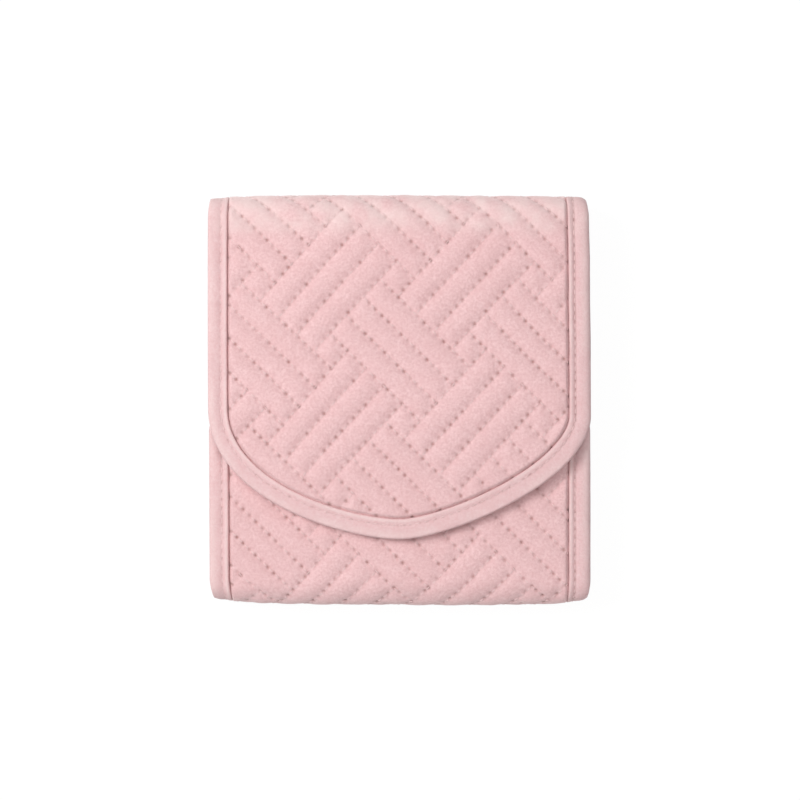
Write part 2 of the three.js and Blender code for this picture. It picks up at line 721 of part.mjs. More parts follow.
// One tape with its row of teeth: a comb whose teeth pass between those of the other row
function zipRow(side) {
  const half = ZIP_LENGTH / 2;
  const [root, tip] = [ZIP_TOOTH_ROOT, ZIP_TOOTH_ROOT - ZIP_TOOTH_REACH];
  const [from, to] = [side * root, side * ZIP_TAPE_WIDTH].sort((a, b) => a - b);
  const tape = slab(-half, half, from, to, POCKET_FACE, POCKET_FACE + ZIP_TAPE_THICKNESS);
  const comb = [[-half, root + ZIP_TOOTH_CORD], [-half, root]];
  const shift = side > 0 ? 0 : ZIP_TOOTH_PITCH / 2;
  for (let x = -half + ZIP_TOOTH_PITCH / 2 + shift; x < half - ZIP_TOOTH_PITCH; x += ZIP_TOOTH_PITCH) {
    const end = x + ZIP_TOOTH_WIDTH;
    comb.push([x, root], [x, tip], [end, tip], [end, root]);
  }
  comb.push([half, root], [half, root + ZIP_TOOTH_CORD]);
  const outline = comb.map(([x, y]) => new THREE.Vector2(x, side * y));
  const top = POCKET_FACE + ZIP_TOOTH_THICKNESS;
  const teeth = prism(outline, POCKET_FACE, top);
  return toGeometry(toSolid(tape).add(toSolid(teeth))).translate(0, ZIP_Y, 0);
}

const SLIDER_X = ZIP_LENGTH / 2 - ZIP_END_STOP;
const SLIDER_TOP = POCKET_FACE + ZIP_TOOTH_THICKNESS + ZIP_SLIDER_GAP + ZIP_SLIDER_WALL;
const PULL_EYE_RADIUS = ZIP_PIN + LAYER_CLEARANCE + ZIP_PULL_THICKNESS;
const PULL_AXIS_Z = SLIDER_TOP + PULL_EYE_RADIUS + LAYER_CLEARANCE;

// The slider is a channel over both rows of teeth, with a bail on top for the pull
function zipSlider() {
  const inside = ZIP_OPENING - LAYER_CLEARANCE;
  const outside = inside + ZIP_SLIDER_WALL;
  const low = POCKET_FACE + ZIP_TAPE_THICKNESS + ZIP_SLIDER_GAP;
  const under = SLIDER_TOP - ZIP_SLIDER_WALL;
  const round = ZIP_SLIDER_WALL / 2;
  const section = [
    [-outside, low], [-inside, low], [-inside, under], [inside, under], [inside, low], [outside, low],
    [outside, SLIDER_TOP - round], [outside - round, SLIDER_TOP],
    [round - outside, SLIDER_TOP], [-outside, SLIDER_TOP - round],
  ].map(([y, z]) => new THREE.Vector2(y, z));
  const channel = new THREE.ExtrudeGeometry(new THREE.Shape(section), {
    depth: ZIP_SLIDER_LENGTH,
    bevelEnabled: false,
  });
  channel.rotateX(Math.PI / 2).rotateZ(Math.PI / 2);
  channel.translate(SLIDER_X - ZIP_SLIDER_LENGTH / 2, ZIP_Y, 0);
  const postInside = ZIP_PULL_NECK / 2 + LAYER_CLEARANCE;
  const postOutside = postInside + ZIP_SLIDER_WALL;
  let slider = toSolid(channel);
  for (const side of [-1, 1]) {
    const [from, to] = [side * postInside, side * postOutside].sort((a, b) => a - b);
    const post = slab(SLIDER_X - ZIP_PIN * 2, SLIDER_X + ZIP_PIN * 2, ZIP_Y + from, ZIP_Y + to,
      SLIDER_TOP - round, PULL_AXIS_Z + ZIP_PIN * 2);
    slider = slider.add(toSolid(post));
  }
  const reach = postInside + round;
  const pin = slab(SLIDER_X - ZIP_PIN, SLIDER_X + ZIP_PIN, ZIP_Y - reach, ZIP_Y + reach,
    PULL_AXIS_Z - ZIP_PIN, PULL_AXIS_Z + ZIP_PIN);
  return toGeometry(slider.add(toSolid(pin)));
}

// The pull is a flat drop with an eye round the slider's pin, lying back along the zip at rest
function zipPull() {
  const half = ZIP_PULL_THICKNESS / 2;
  const neckLength = PULL_EYE_RADIUS + ZIP_PULL_THICKNESS;
  const eye = new THREE.Shape();
  const mouth = Math.PI - ZIP_PULL_EYE_MOUTH;
  eye.absarc(0, 0, PULL_EYE_RADIUS, mouth, -mouth, true);
  eye.lineTo(-neckLength, -half);
  eye.lineTo(-neckLength, half);
  const bore = new THREE.Path();
  bore.absarc(0, 0, PULL_EYE_RADIUS - ZIP_PULL_THICKNESS, 0, 2 * Math.PI, false);
  eye.holes.push(bore);
  const loop = new THREE.ExtrudeGeometry(eye, {
    depth: ZIP_PULL_NECK,
    bevelEnabled: false,
    curveSegments: ZIP_PULL_EYE_STEPS,
  });
  loop.rotateX(Math.PI / 2).translate(SLIDER_X, ZIP_Y + ZIP_PULL_NECK / 2, PULL_AXIS_Z);
  const end = ZIP_PULL_LENGTH - ZIP_PULL_WIDTH / 2;
  const plate = new THREE.Shape();
  plate.moveTo(-neckLength + half, -ZIP_PULL_NECK / 2);
  plate.lineTo(-neckLength + half, ZIP_PULL_NECK / 2);
  plate.absarc(-end, 0, ZIP_PULL_WIDTH / 2, Math.PI / 3, -Math.PI / 3, false);
  const drop = new THREE.ExtrudeGeometry(plate, {
    depth: ZIP_PULL_THICKNESS,
    bevelEnabled: false,
    curveSegments: ZIP_PULL_TIP_STEPS,
  });
  drop.translate(SLIDER_X, ZIP_Y, PULL_AXIS_Z - half);
  return toGeometry(toSolid(loop).add(toSolid(drop)));
}

// Press stud: the stud stands on the lining, the socket is riveted through the strap above it
const STRAP_UNDERSIDE = LINING_FACE + STRAP_LIFT;
const STRAP_FACE = STRAP_UNDERSIDE + STRAP_CLOTH;
const SOCKET_INNER = STUD_NUB_RADIUS + STUD_CLEARANCE;
const SOCKET_STEM = SOCKET_INNER + STRAP_CLOTH;
const STRAP_HOLE = SOCKET_STEM + LAYER_CLEARANCE;

function pressStud(x, y) {
  const base = LINING_FACE + STUD_BASE;
  const nub = base + STUD_NUB_HEIGHT;
  return turned([
    [0, LINING_FACE], [STUD_RADIUS, LINING_FACE], [STUD_RADIUS, base], [STUD_NUB_RADIUS, base],
    [STUD_NUB_RADIUS, nub - STUD_CLEARANCE], [STUD_NUB_RADIUS - STUD_CLEARANCE, nub], [0, nub],
  ], x, y, STUD_SIDES);
}

function pressSocket(x, y) {
  const low = LINING_FACE + STUD_BASE + STUD_SEAT_GAP;
  const roof = STRAP_UNDERSIDE + STUD_CLEARANCE + EDGE_CLEARANCE;
  const cap = STRAP_FACE + STRAP_CLOTH;
  return turned([
    [0, roof], [SOCKET_INNER, roof], [SOCKET_INNER, low], [STUD_RADIUS, low],
    [STUD_RADIUS, STRAP_UNDERSIDE], [SOCKET_STEM, STRAP_UNDERSIDE], [SOCKET_STEM, STRAP_FACE],
    [STUD_RADIUS, STRAP_FACE], [STUD_RADIUS, STRAP_FACE + STUD_CLEARANCE],
    [STUD_RADIUS - STUD_CAP_TAPER, cap], [0, cap],
  ], x, y, STUD_SIDES);
}

// A flat strap with one round end, pointing along -Y from the origin
function strapShape(width, length) {
  const shape = new THREE.Shape();
  const half = width / 2;
  shape.moveTo(-half, 0);
  shape.absarc(0, -(length - half), half, Math.PI, 2 * Math.PI, false);
  shape.lineTo(half, 0);
  return shape;
}

function strap(width, length, studInset) {
  const shape = strapShape(width, length);
  const hole = new THREE.Path();
  hole.absarc(0, -(length - studInset), STRAP_HOLE, 0, 2 * Math.PI, true);
  shape.holes.push(hole);
  const geometry = new THREE.ExtrudeGeometry(shape, {
    depth: STRAP_CLOTH,
    bevelEnabled: false,
    curveSegments: STRAP_END_STEPS,
  });
  return geometry.translate(0, 0, STRAP_UNDERSIDE);
}

// Necklace tabs
function tabX(number) {
  return (number - (TAB_COUNT - 1) / 2) * TAB_PITCH;
}

const TAB_STUD_Y = TAB_ROOT_Y - TAB_LENGTH + TAB_STUD_INSET;

function tabStrip() {
  const half = (TAB_PITCH * (TAB_COUNT - 1)) / 2 + TAB_WIDTH;
  const from = TAB_ROOT_Y + LAYER_CLEARANCE + EDGE_CLEARANCE;
  return slab(-half, half, from, from + TAB_STRIP_WIDTH, LINING_FACE, STRAP_UNDERSIDE);
}

// Ring bar: a soft roll on a strap that is sewn down at its left end and snaps at its right end
const RING_STRAP_FROM = -RING_STRAP_LENGTH / 2 + RING_STRAP_WIDTH / 2;
const RING_STUD_X = RING_STRAP_FROM + RING_STRAP_LENGTH - RING_STRAP_WIDTH / 2;

function ringStrap() {
  const geometry = strap(RING_STRAP_WIDTH, RING_STRAP_LENGTH, RING_STRAP_WIDTH / 2);
  return geometry.rotateZ(Math.PI / 2).translate(RING_STRAP_FROM, RING_BAR_Y, 0);
}

function ringRoll() {
  const centre = STRAP_FACE + RING_ROLL_RADIUS - LAYER_CLEARANCE;
  const rounding = RING_ROLL_END_ROUNDING;
  const round = new THREE.Shape().absarc(0, 0, RING_ROLL_RADIUS - rounding, 0, 2 * Math.PI);
  const roll = new THREE.ExtrudeGeometry(round, {
    depth: RING_ROLL_LENGTH - 2 * rounding,
    bevelThickness: rounding,
    bevelSize: rounding,
    bevelSegments: 2,
    curveSegments: RING_ROLL_STEPS,
  });
  roll.rotateY(Math.PI / 2).translate(RING_STRAP_FROM + RING_ROLL_START + rounding, RING_BAR_Y, centre);
  const under = slab(-CASE_WIDTH, CASE_WIDTH, -CASE_LENGTH, CASE_LENGTH, -CASE_THICKNESS, STRAP_FACE);
  return toGeometry(toSolid(roll).subtract(toSolid(under)));
}

function ringAnchor() {
  const to = RING_STRAP_FROM - LAYER_CLEARANCE;
  const half = RING_STRAP_WIDTH / 2 + RING_ANCHOR_MARGIN;
  const [low, high] = [RING_BAR_Y - half, RING_BAR_Y + half];
  return slab(to - RING_ANCHOR_LENGTH, to, low, high, LINING_FACE, STRAP_UNDERSIDE);
}

// Earring page: a bound leaf with holes, joined by a cloth tongue to the bottom fold
const PAGE_AXIS_Y = -CASE_LENGTH / 2 + LINING_FACE + PAGE_HINGE_OFFSET;
const PAGE_AXIS_Z = FOLD_RADIUS + BOTTOM_WALL / 2;
const PAGE_BOTTOM_Y = PAGE_AXIS_Y + LAYER_CLEARANCE;
const PAGE_HINGE_HALF = PAGE_WIDTH / 2 - PAGE_BINDING_WIDTH;

function pageEdge() {
  return roundedEdge(PAGE_WIDTH / 2, PAGE_BOTTOM_Y, PAGE_TOP_Y, PAGE_CORNER_RADIUS, PAGE_CORNER_STEPS);
}

function earringPage() {
  const half = PAGE_THICKNESS / 2;
  const outline = insetOutline(pageEdge(), PAGE_BINDING_CLOTH + EDGE_CLEARANCE);
  const leaf = prism(outline, PAGE_AXIS_Z - half, PAGE_AXIS_Z + half);
  const root = PAGE_AXIS_Y - PAGE_HINGE_OFFSET + PAGE_STRIP_CLOTH + PAGE_TONGUE_GAP;
  const tongue = slab(-PAGE_HINGE_HALF, PAGE_HINGE_HALF, root, PAGE_BOTTOM_Y + PAGE_TONGUE_LAP,
    PAGE_AXIS_Z - LAYER_CLEARANCE, PAGE_AXIS_Z + LAYER_CLEARANCE);
  const holes = [];
  const middle = (PAGE_TOP_Y + PAGE_BOTTOM_Y) / 2;
  for (let row = 0; row < PAGE_HOLE_ROWS; row += 1) {
    for (let column = 0; column < PAGE_HOLE_COLUMNS; column += 1) {
      const x = (column - (PAGE_HOLE_COLUMNS - 1) / 2) * PAGE_HOLE_PITCH;
      const y = middle + (row - (PAGE_HOLE_ROWS - 1) / 2) * PAGE_HOLE_ROW_PITCH;
      holes.push(disc(PAGE_HOLE_RADIUS, x, y, 0, CASE_THICKNESS, PAGE_HOLE_SIDES));
    }
  }
  return toGeometry(subtractAll(toSolid(leaf).add(toSolid(tongue)), holes));
}

function earringPageBinding() {
  const half = PAGE_THICKNESS / 2 + PAGE_BINDING_CLOTH;
  return sweepAlongEdge(bindingSection(PAGE_BINDING_WIDTH, PAGE_AXIS_Z - half, PAGE_AXIS_Z + half,
    PAGE_BINDING_CLOTH, PAGE_BINDING_CLOTH), pageEdge());
}

function earringHingeStrip() {
  const y = -CASE_LENGTH / 2 + LINING_FACE;
  const half = BOTTOM_WALL / 2 - LAYER_CLEARANCE;
  const [low, high] = [PAGE_AXIS_Z - half, PAGE_AXIS_Z + half];
  return slab(-PAGE_HINGE_HALF, PAGE_HINGE_HALF, y, y + PAGE_STRIP_CLOTH, low, high);
}

// Assembly
const organizer = new THREE.Group();
organizer.name = 'travel_jewelry_organizer';

function piece(name, geometry, material, parent) {
  const mesh = new THREE.Mesh(geometry, material);
  mesh.name = name;
  parent.add(mesh);
}

function section() {
  const group = new THREE.Group();
  organizer.add(group);
  return group;
}

function addStretch(name, panel, group) {
  piece(`${name}_quilt`, quilt(panel), VELVET, group);
  piece(`${name}_lining`, lining(panel), LINING_VELVET, group);
  piece(`${name}_binding_left`, stretchBinding(panel, -1), BINDING_VELVET, group);
  piece(`${name}_binding_right`, stretchBinding(panel, 1), BINDING_VELVET, group);
}

function addBack() {
  const group = section();
  addStretch('back', BACK, group);
  piece('back_board', board(BACK), BOARD, group);
  piece('zip_pocket_panel', zipPocketPanel(), LINING_VELVET, group);
  piece('zip_top_strip', zipTopStrip(), LINING_VELVET, group);
  piece('zip_row_lower', zipRow(-1), ZIP_TAPE, group);
  piece('zip_row_upper', zipRow(1), ZIP_TAPE, group);
  piece('ring_bar_anchor', ringAnchor(), LINING_VELVET, group);
  piece('ring_bar_stud', pressStud(RING_STUD_X, RING_BAR_Y), GOLD, group);
  piece('necklace_tab_strip', tabStrip(), LINING_VELVET, group);
  for (let number = 0; number < TAB_COUNT; number += 1) {
    piece(`necklace_stud_${number + 1}`, pressStud(tabX(number), TAB_STUD_Y), GOLD, group);
  }
}

function addTopSpine() {
  addStretch('top_spine', TOP_SPINE, section());
}

function addFlap() {
  const group = section();
  piece('flap_quilt', quilt(FLAP), VELVET, group);
  piece('flap_board', board(FLAP, [throughHole(SNAP_HOLE, FLAP_SNAP_S)]), BOARD, group);
  piece('flap_lining', lining(FLAP, [throughHole(STEM_HOLE, FLAP_SNAP_S)]), LINING_VELVET, group);
  piece('flap_binding', binding(flapEdge()), BINDING_VELVET, group);
  piece('flap_snap_washer', snapWasher(FLAP_SNAP_S), STEEL, group);
  piece('flap_snap_post', snapPost(), GOLD, group);
  piece('flap_pocket', flapPocket(), LINING_VELVET, group);
  piece('flap_pocket_elastic', flapPocketElastic(), ELASTIC, group);
}

function addBottomSpine() {
  const group = section();
  addStretch('bottom_spine', BOTTOM_SPINE, group);
  piece('earring_page_strip', earringHingeStrip(), LINING_VELVET, group);
}

function addFront() {
  const group = section();
  const seat = disc(SNAP_HOLE, 0, FRONT_SNAP_S, -PILLOW_RISE, PILLOW_RISE, SNAP_SIDES);
  const stem = throughHole(STEM_HOLE, FRONT_SNAP_S);
  piece('front_quilt', quilt(FRONT, [seat, stem]), VELVET, group);
  piece('front_board', board(FRONT, [throughHole(SNAP_HOLE, FRONT_SNAP_S)]), BOARD, group);
  piece('front_lining', lining(FRONT), LINING_VELVET, group);
  piece('front_binding', binding(frontEdge()), BINDING_VELVET, group);
  piece('front_snap_cup', snapCup(), GOLD, group);
  piece('front_snap_magnet', snapMagnet(), STEEL, group);
  piece('front_snap_washer', snapWasher(FRONT_SNAP_S), STEEL, group);
  piece('front_pocket', frontPocket(), LINING_VELVET, group);
}

function addEarringPage() {
  const group = section();
  piece('earring_page', earringPage(), LINING_VELVET, group);
  piece('earring_page_binding', earringPageBinding(), BINDING_VELVET, group);
}

function addRingBar() {
  const group = section();
  piece('ring_bar_strap', ringStrap(), LINING_VELVET, group);
  piece('ring_bar_roll', ringRoll(), VELVET, group);
  piece('ring_bar_socket', pressSocket(RING_STUD_X, RING_BAR_Y), GOLD, group);
}

function addNecklaceTabs() {
  for (let number = 0; number < TAB_COUNT; number += 1) {
    const group = section();
    const tab = strap(TAB_WIDTH, TAB_LENGTH, TAB_STUD_INSET).translate(tabX(number), TAB_ROOT_Y, 0);
    piece(`necklace_tab_${number + 1}`, tab, LINING_VELVET, group);
    piece(`necklace_socket_${number + 1}`, pressSocket(tabX(number), TAB_STUD_Y), GOLD, group);
  }
}

function addZipSlider() {
  const group = section();
  piece('zip_slider', zipSlider(), GOLD, group);
  piece('zip_pull', zipPull(), GOLD, group);
}

addBack();
addTopSpine();
addFlap();
addBottomSpine();
addFront();
addEarringPage();
addRingBar();
addNecklaceTabs();
addZipSlider();

export default organizer;
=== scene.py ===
"""Travel jewelry organizer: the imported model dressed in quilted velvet, bound edges and metal fittings.

Run as a script in Blender. Lengths are metres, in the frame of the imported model.
The case is one quilted strip, so its layers are made flat in strip coordinates and then folded:
x across, s along the strip from the middle of the back, and d, depth in from the outer crown.
"""

import functools
import json
import math

import bmesh
import bpy
import numpy as np
from bpy.props import FloatProperty, FloatVectorProperty, PointerProperty
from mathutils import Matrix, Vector
from mathutils.geometry import delaunay_2d_cdt


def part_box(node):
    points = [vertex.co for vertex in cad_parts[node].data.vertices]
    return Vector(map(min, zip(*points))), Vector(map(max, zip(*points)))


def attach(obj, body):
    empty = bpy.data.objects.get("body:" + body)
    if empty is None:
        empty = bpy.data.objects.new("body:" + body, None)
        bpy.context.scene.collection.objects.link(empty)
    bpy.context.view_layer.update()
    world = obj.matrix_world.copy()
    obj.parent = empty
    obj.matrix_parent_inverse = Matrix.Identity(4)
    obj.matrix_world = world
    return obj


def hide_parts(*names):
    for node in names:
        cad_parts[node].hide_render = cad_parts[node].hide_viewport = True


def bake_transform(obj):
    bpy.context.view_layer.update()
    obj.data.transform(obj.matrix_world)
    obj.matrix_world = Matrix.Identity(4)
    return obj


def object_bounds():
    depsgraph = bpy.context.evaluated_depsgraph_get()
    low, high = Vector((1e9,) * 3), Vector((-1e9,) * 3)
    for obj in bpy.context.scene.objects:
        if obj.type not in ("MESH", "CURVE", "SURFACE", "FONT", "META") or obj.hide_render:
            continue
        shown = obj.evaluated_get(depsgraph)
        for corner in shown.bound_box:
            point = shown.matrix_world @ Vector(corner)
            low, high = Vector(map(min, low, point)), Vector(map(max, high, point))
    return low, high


bl_info = {
    "name": "Travel jewelry organizer",
    "version": (1, 0, 0),
    "blender": (4, 5, 0),
    "location": "View3D > Sidebar > Organizer",
    "description": "Dresses the packed organizer in quilted velvet, bindings, stitches and metal fittings",
    "category": "Object",
}

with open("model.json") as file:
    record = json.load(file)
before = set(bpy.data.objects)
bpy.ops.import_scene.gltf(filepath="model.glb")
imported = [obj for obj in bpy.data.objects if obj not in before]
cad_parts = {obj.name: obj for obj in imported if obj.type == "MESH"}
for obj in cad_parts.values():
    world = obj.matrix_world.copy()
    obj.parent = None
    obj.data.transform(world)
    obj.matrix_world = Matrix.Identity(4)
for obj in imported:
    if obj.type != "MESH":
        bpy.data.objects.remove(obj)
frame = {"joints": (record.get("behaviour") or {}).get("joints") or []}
CAD_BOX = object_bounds()

MM = 0.001


def joint(name):
    return next(j for j in frame["joints"] if j["name"] == name)


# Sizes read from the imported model
HALF_WIDTH, _, THICKNESS = Vector(CAD_BOX[1])
HALF_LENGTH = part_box("top_spine_quilt")[1][1]
FRONT_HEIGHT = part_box("front_quilt")[1][2]
FOLD_RADIUS = (HALF_LENGTH - joint("top_spine_fold")["pos_m"][1]) / (1 - math.pi / 4)
LINING_FACE, POCKET_FACE = [corner[2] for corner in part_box("zip_pocket_panel")]
FLAP_TIP_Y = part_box("flap_binding")[0][1]
FRONT_EDGE_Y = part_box("front_binding")[1][1]
SNAP_LOW, SNAP_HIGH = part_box("front_snap_cup")
SNAP_Y = (SNAP_LOW[1] + SNAP_HIGH[1]) / 2
SNAP_RADIUS = SNAP_HIGH[0]

# Depths in the layers of cloth
BORDER_DEPTH = 2.45 * MM
GROOVE_DEPTH = 0.73 * MM
SLOT_DEPTH = 0.62 * MM
QUILT_UNDERSIDE = 3.6 * MM
WALL_FLATTENING = 0.7
SNAP_SEAT_DEPTH = 2.1 * MM
SNAP_SEAT_GAP, SNAP_SEAT_SLOPE = 0.3 * MM, 2.2 * MM
SNAP_SEAM_GAP = 1 * MM
SHEET_INSET = 2.6 * MM
PATCH_INSET = 7.8 * MM

# The band folded round the edges, whose outer rim is rounder on the right-hand side of the case
BAND_MIDDLE = 3.5 * MM
BAND_PUSH = 1.0 * MM
BAND_FACE = 1.14 * MM
BAND_GROOVE = 1.95 * MM
BAND_FLAT = 0.75
CURVE_FLAT = 0.6
BAND_WIDENING = 0.055
THREAD_WIDENING = 0.1
THREAD_INSET = 5.2 * MM
THREAD_DEPTH = 1.72 * MM
INNER_THREAD_DEPTH = 5.1 * MM
OUTER_HALF = 2 * MM
RIM_DROP = 1.1 * MM
RIM_WIDTH = 2.9 * MM
RIM_DROP_X = 62 * MM

# Where the quilting rises beside the band, and the narrow slot between the two
BAND_END = 7.3 * MM
RISE_WIDTH, RISE_NARROWING = 1.7 * MM, 1.1 * MM
SLOT_INSET, SLOT_WIDTH = 7.85 * MM, 0.4 * MM
SLOT_SHADE = 0.4

# Where a highlight is painted on the band: at its rim and on the ridge beside the quilting
HIGHLIGHT_RIM = (1.5 * MM, 1.4 * MM)
HIGHLIGHT_RIDGE = (6.75 * MM, 0.55 * MM)

# Stitches: pitch and thread radius where they differ from the quilting, and how thread lies on the cloth
STITCH_SHARE = 0.66
THREAD_SINK = 0.06 * MM
STITCH_LIFT = 0.02 * MM
POCKET_STITCH = {"pitch": 2.6 * MM, "radius": 0.17 * MM}
STRAP_STITCH = {"pitch": 2.6 * MM, "radius": 0.16 * MM}
ANCHOR_STITCH = {"pitch": 2.2 * MM, "radius": 0.16 * MM}
TAB_STRIP_STITCH = {"pitch": 2.4 * MM, "radius": 0.16 * MM}
TAB_STITCH = {"pitch": 2.2 * MM, "radius": 0.15 * MM}
PAGE_STITCH = {"pitch": 2.8 * MM, "radius": 0.17 * MM}

# Needle holes: how far apart at least, and how wide the hole, its pucker and the painted shade in it are
NEEDLE_GAP = 1.7 * MM
HOLE_SPREAD = 0.38 * MM
PUCKER_SPREAD = 1.1 * MM
HOLE_SHADE_SPREAD = 0.43 * MM
LEAST_PULL = 0.42
# How much fainter the painted hole shade is under the top fold's painted highlight
SHEEN_HOLE_FADE = 0.42

# The flap's sewn edge strays a little from the model's mirrored curve: for its left and right half
# the height at which the curve starts and how far it is pulled at the side and at the tip
FLAP_CURVES = {-1: (-2.8 * MM, 34.3 * MM, 19.7 * MM), 1: (-5.5 * MM, 23.8 * MM, 18.5 * MM)}
FLAP_TIP_RISE = 0.6 * MM
FRONT_CORNER_RADIUS = 8.5 * MM
EDGE_STEP = 0.6 * MM
COARSE_EDGE_STEP = 0.8 * MM
BACK_STEP = 4 * MM

# Stations on the strip
STRAIGHT = HALF_LENGTH - FOLD_RADIUS
QUARTER_TURN = FOLD_RADIUS * math.pi / 2
TOP_WALL = THICKNESS - 2 * FOLD_RADIUS
BOTTOM_WALL = FRONT_HEIGHT - 2 * FOLD_RADIUS
TOP_MIDDLE = STRAIGHT + QUARTER_TURN + TOP_WALL / 2
BOTTOM_MIDDLE = -(STRAIGHT + QUARTER_TURN + BOTTOM_WALL / 2)
FLAP_TURN = 2 * STRAIGHT + 2 * QUARTER_TURN + TOP_WALL
FRONT_TURN = 2 * STRAIGHT + 2 * QUARTER_TURN + BOTTOM_WALL
FLAP_FOLD_END = STRAIGHT + 2 * QUARTER_TURN + TOP_WALL + 8 * MM
FLAP_CENTRE = (0, TOP_MIDDLE + 40 * MM)
FRONT_CENTRE = (0, BOTTOM_MIDDLE - 30 * MM)

# How much of a fold's diagonal the bend takes
TOP_BEND_SHARE = 0.95
BOTTOM_BEND_SHARE = 0.76

# Where and how much the padding gives way inside the front fold, under the opened earring page
CREASE_DEPTH = 1.7 * MM
BACK_GIVE = 0.92
CREASE_SPREAD = 5 * MM
CREASE_HALF_WIDTH = 61 * MM
CREASE_STATION = BOTTOM_MIDDLE - (BOTTOM_WALL + QUARTER_TURN) / 2 - 2 * MM

# Quilting, as in the model: the steps from block to block, seen from outside
BLOCK_RISING = np.array([24.3, 26.4]) * MM
BLOCK_FALLING = np.array([26.3, -25.8]) * MM
FLAP_ORIGIN = np.array([-45.4, 43.9]) * MM
FRONT_ORIGIN = np.array([4.4, -75.7]) * MM
STRIP_SHARE = 0.25
STRAY = 0.9 * MM
SEAM_POINTS = 150
SEAM_MARGIN = 7.9 * MM
SHORTEST_SEAM = 2.5 * MM

# Where the cloth bows out a little over the folds and draws in at the corners, left and right
TOP_BOW, TOP_BOW_X = 0.5 * MM, -12 * MM
BOTTOM_BOW, BOTTOM_BOW_X = 0.9 * MM, 14 * MM
TOP_CORNER_REACH = (20 * MM, 6 * MM)
TOP_CORNER_PULL = (1.1 * MM, 0.7 * MM)
BOTTOM_CORNER_REACH = 22 * MM
BOTTOM_CORNER_PULL = (1.7 * MM, 1.5 * MM)
CORNER_NARROWING = 0.35 * MM

# How far the sides of the real case lean off the straight, at heights from the bottom to the top
LEAN_HEIGHTS = np.array([-76, -71, -66, -30, 0, 24, 36, 52, 62, 76]) * MM
LEAN_LEFT = np.array([1.0, 0.45, -0.05, -0.2, -0.35, -0.45, -0.45, -0.45, -0.4, -0.35]) * MM
LEAN_RIGHT = np.array([-0.3, 0.05, 0.1, 0.1, -0.05, -0.15, -0.35, -0.4, -0.7, -0.8]) * MM

# Inside: pocket cloth, the roll that sinks into its strap, and the page, whose leaf ends at its hinge cloth
POCKET_DEPTH = POCKET_FACE + STITCH_LIFT
PATCH_ROUNDING = 0.7 * MM
ROLL_SINK = 0.18 * MM
TONGUE_SHARE = 0.25
EYELET_PITCH = 14 * MM
EYELET_ROWS_APART = 24 * MM

# Stage
FLOOR_Z = -0.0002
FLOOR_HALF = 3.0
FLOOR_GLOW = 1.03
FLOOR_GLOW_SHARE = 0.93
WORLD_STRENGTH = 0.38
LAMPS = {
    "key": ((-0.6, 0.24, 0.85), 0.42, 7.9),
    "fill": ((0.7, -0.5, 0.9), 1.0, 2.0),
    "top": ((0.0, 0.1, 1.3), 1.2, 3.6),
}
CAMERA_DISTANCE = 1.3
SENSOR_WIDTH = 36
FRAME_WIDTH = 0.2951

# Angles past which an edge is shaded sharp
SHARP_CLOTH, SHARP_COPY, SHARP_TURNED, SHARP_TAPE = [math.radians(angle) for angle in (62, 50, 40, 60)]

FINISH_NAMES = {
    "velvet": "Quilted velvet", "binding": "Binding velvet", "lining": "Lining velvet", "pad": "Pad velvet",
    "thread": "Sewing thread", "tape": "Zip tape", "elastic": "Elastic band", "gold": "Pale gold plating",
    "steel": "Plated steel", "board": "Fibreboard",
}


def flap_station(y):
    return FLAP_TURN - y


def front_station(y):
    return -FRONT_TURN - y


def smooth_step(t):
    t = np.clip(t, 0, 1)
    return t * t * (3 - 2 * t)


def bell(value, middle, width):
    return np.exp(-((value - middle) / width) ** 2)


def between(at, i, j, fu, fv):
    """The value between four neighbours of a grid."""
    low = at(i, j) * (1 - fu) + at(i + 1, j) * fu
    high = at(i, j + 1) * (1 - fu) + at(i + 1, j + 1) * fu
    return low * (1 - fv) + high * fv


# Folding
def fold(x, s, d):
    """Strip coordinates to the closed case, as an array of points."""
    x, s, d = np.broadcast_arrays(np.asarray(x, float), s, d)
    at_bottom, at_left = s < 0, x < 0
    side = np.where(at_bottom, -1.0, 1.0)
    height = np.where(at_bottom, FRONT_HEIGHT, THICKNESS)
    wall = np.where(at_bottom, BOTTOM_WALL, TOP_WALL)
    radius = FOLD_RADIUS - d
    run = np.abs(s) - STRAIGHT
    first = np.clip(run, 0, QUARTER_TURN) / FOLD_RADIUS
    second = np.clip(run - QUARTER_TURN - wall, 0, QUARTER_TURN) / FOLD_RADIUS
    on_wall = np.clip(run - QUARTER_TURN, 0, wall)
    beyond = np.maximum(run - 2 * QUARTER_TURN - wall, 0)
    before = np.minimum(run, 0)
    angle = first + second
    y = STRAIGHT + before + radius * np.sin(angle) - beyond
    from_crown = FOLD_RADIUS - radius * np.cos(angle) + on_wall
    z = np.where(second > 0, height - FOLD_RADIUS - radius * np.cos(angle), from_crown)
    on_fold = np.sin(angle) ** 2
    middle = np.where(at_bottom, BOTTOM_BOW_X, TOP_BOW_X)
    off_middle = np.clip((x - middle) / (HALF_WIDTH + np.abs(middle)), -1, 1)
    bow = np.where(at_bottom, BOTTOM_BOW, TOP_BOW) * np.cos(off_middle * math.pi / 2)
    reach = np.where(at_bottom, BOTTOM_CORNER_REACH, np.where(at_left, *TOP_CORNER_REACH))
    corner = np.clip((np.abs(x) - HALF_WIDTH + reach) / reach, 0, 1.1) ** 2
    pull = np.where(at_bottom, np.where(at_left, *BOTTOM_CORNER_PULL), np.where(at_left, *TOP_CORNER_PULL))
    y = side * (y + (bow - pull * corner) * on_fold)
    lean = np.where(at_left, np.interp(y, LEAN_HEIGHTS, LEAN_LEFT), np.interp(y, LEAN_HEIGHTS, LEAN_RIGHT))
    x = x * (1 - CORNER_NARROWING * on_fold / HALF_WIDTH) + lean * np.abs(x) / HALF_WIDTH
    return np.stack([x, y, z], axis=-1).reshape(-1, 3)


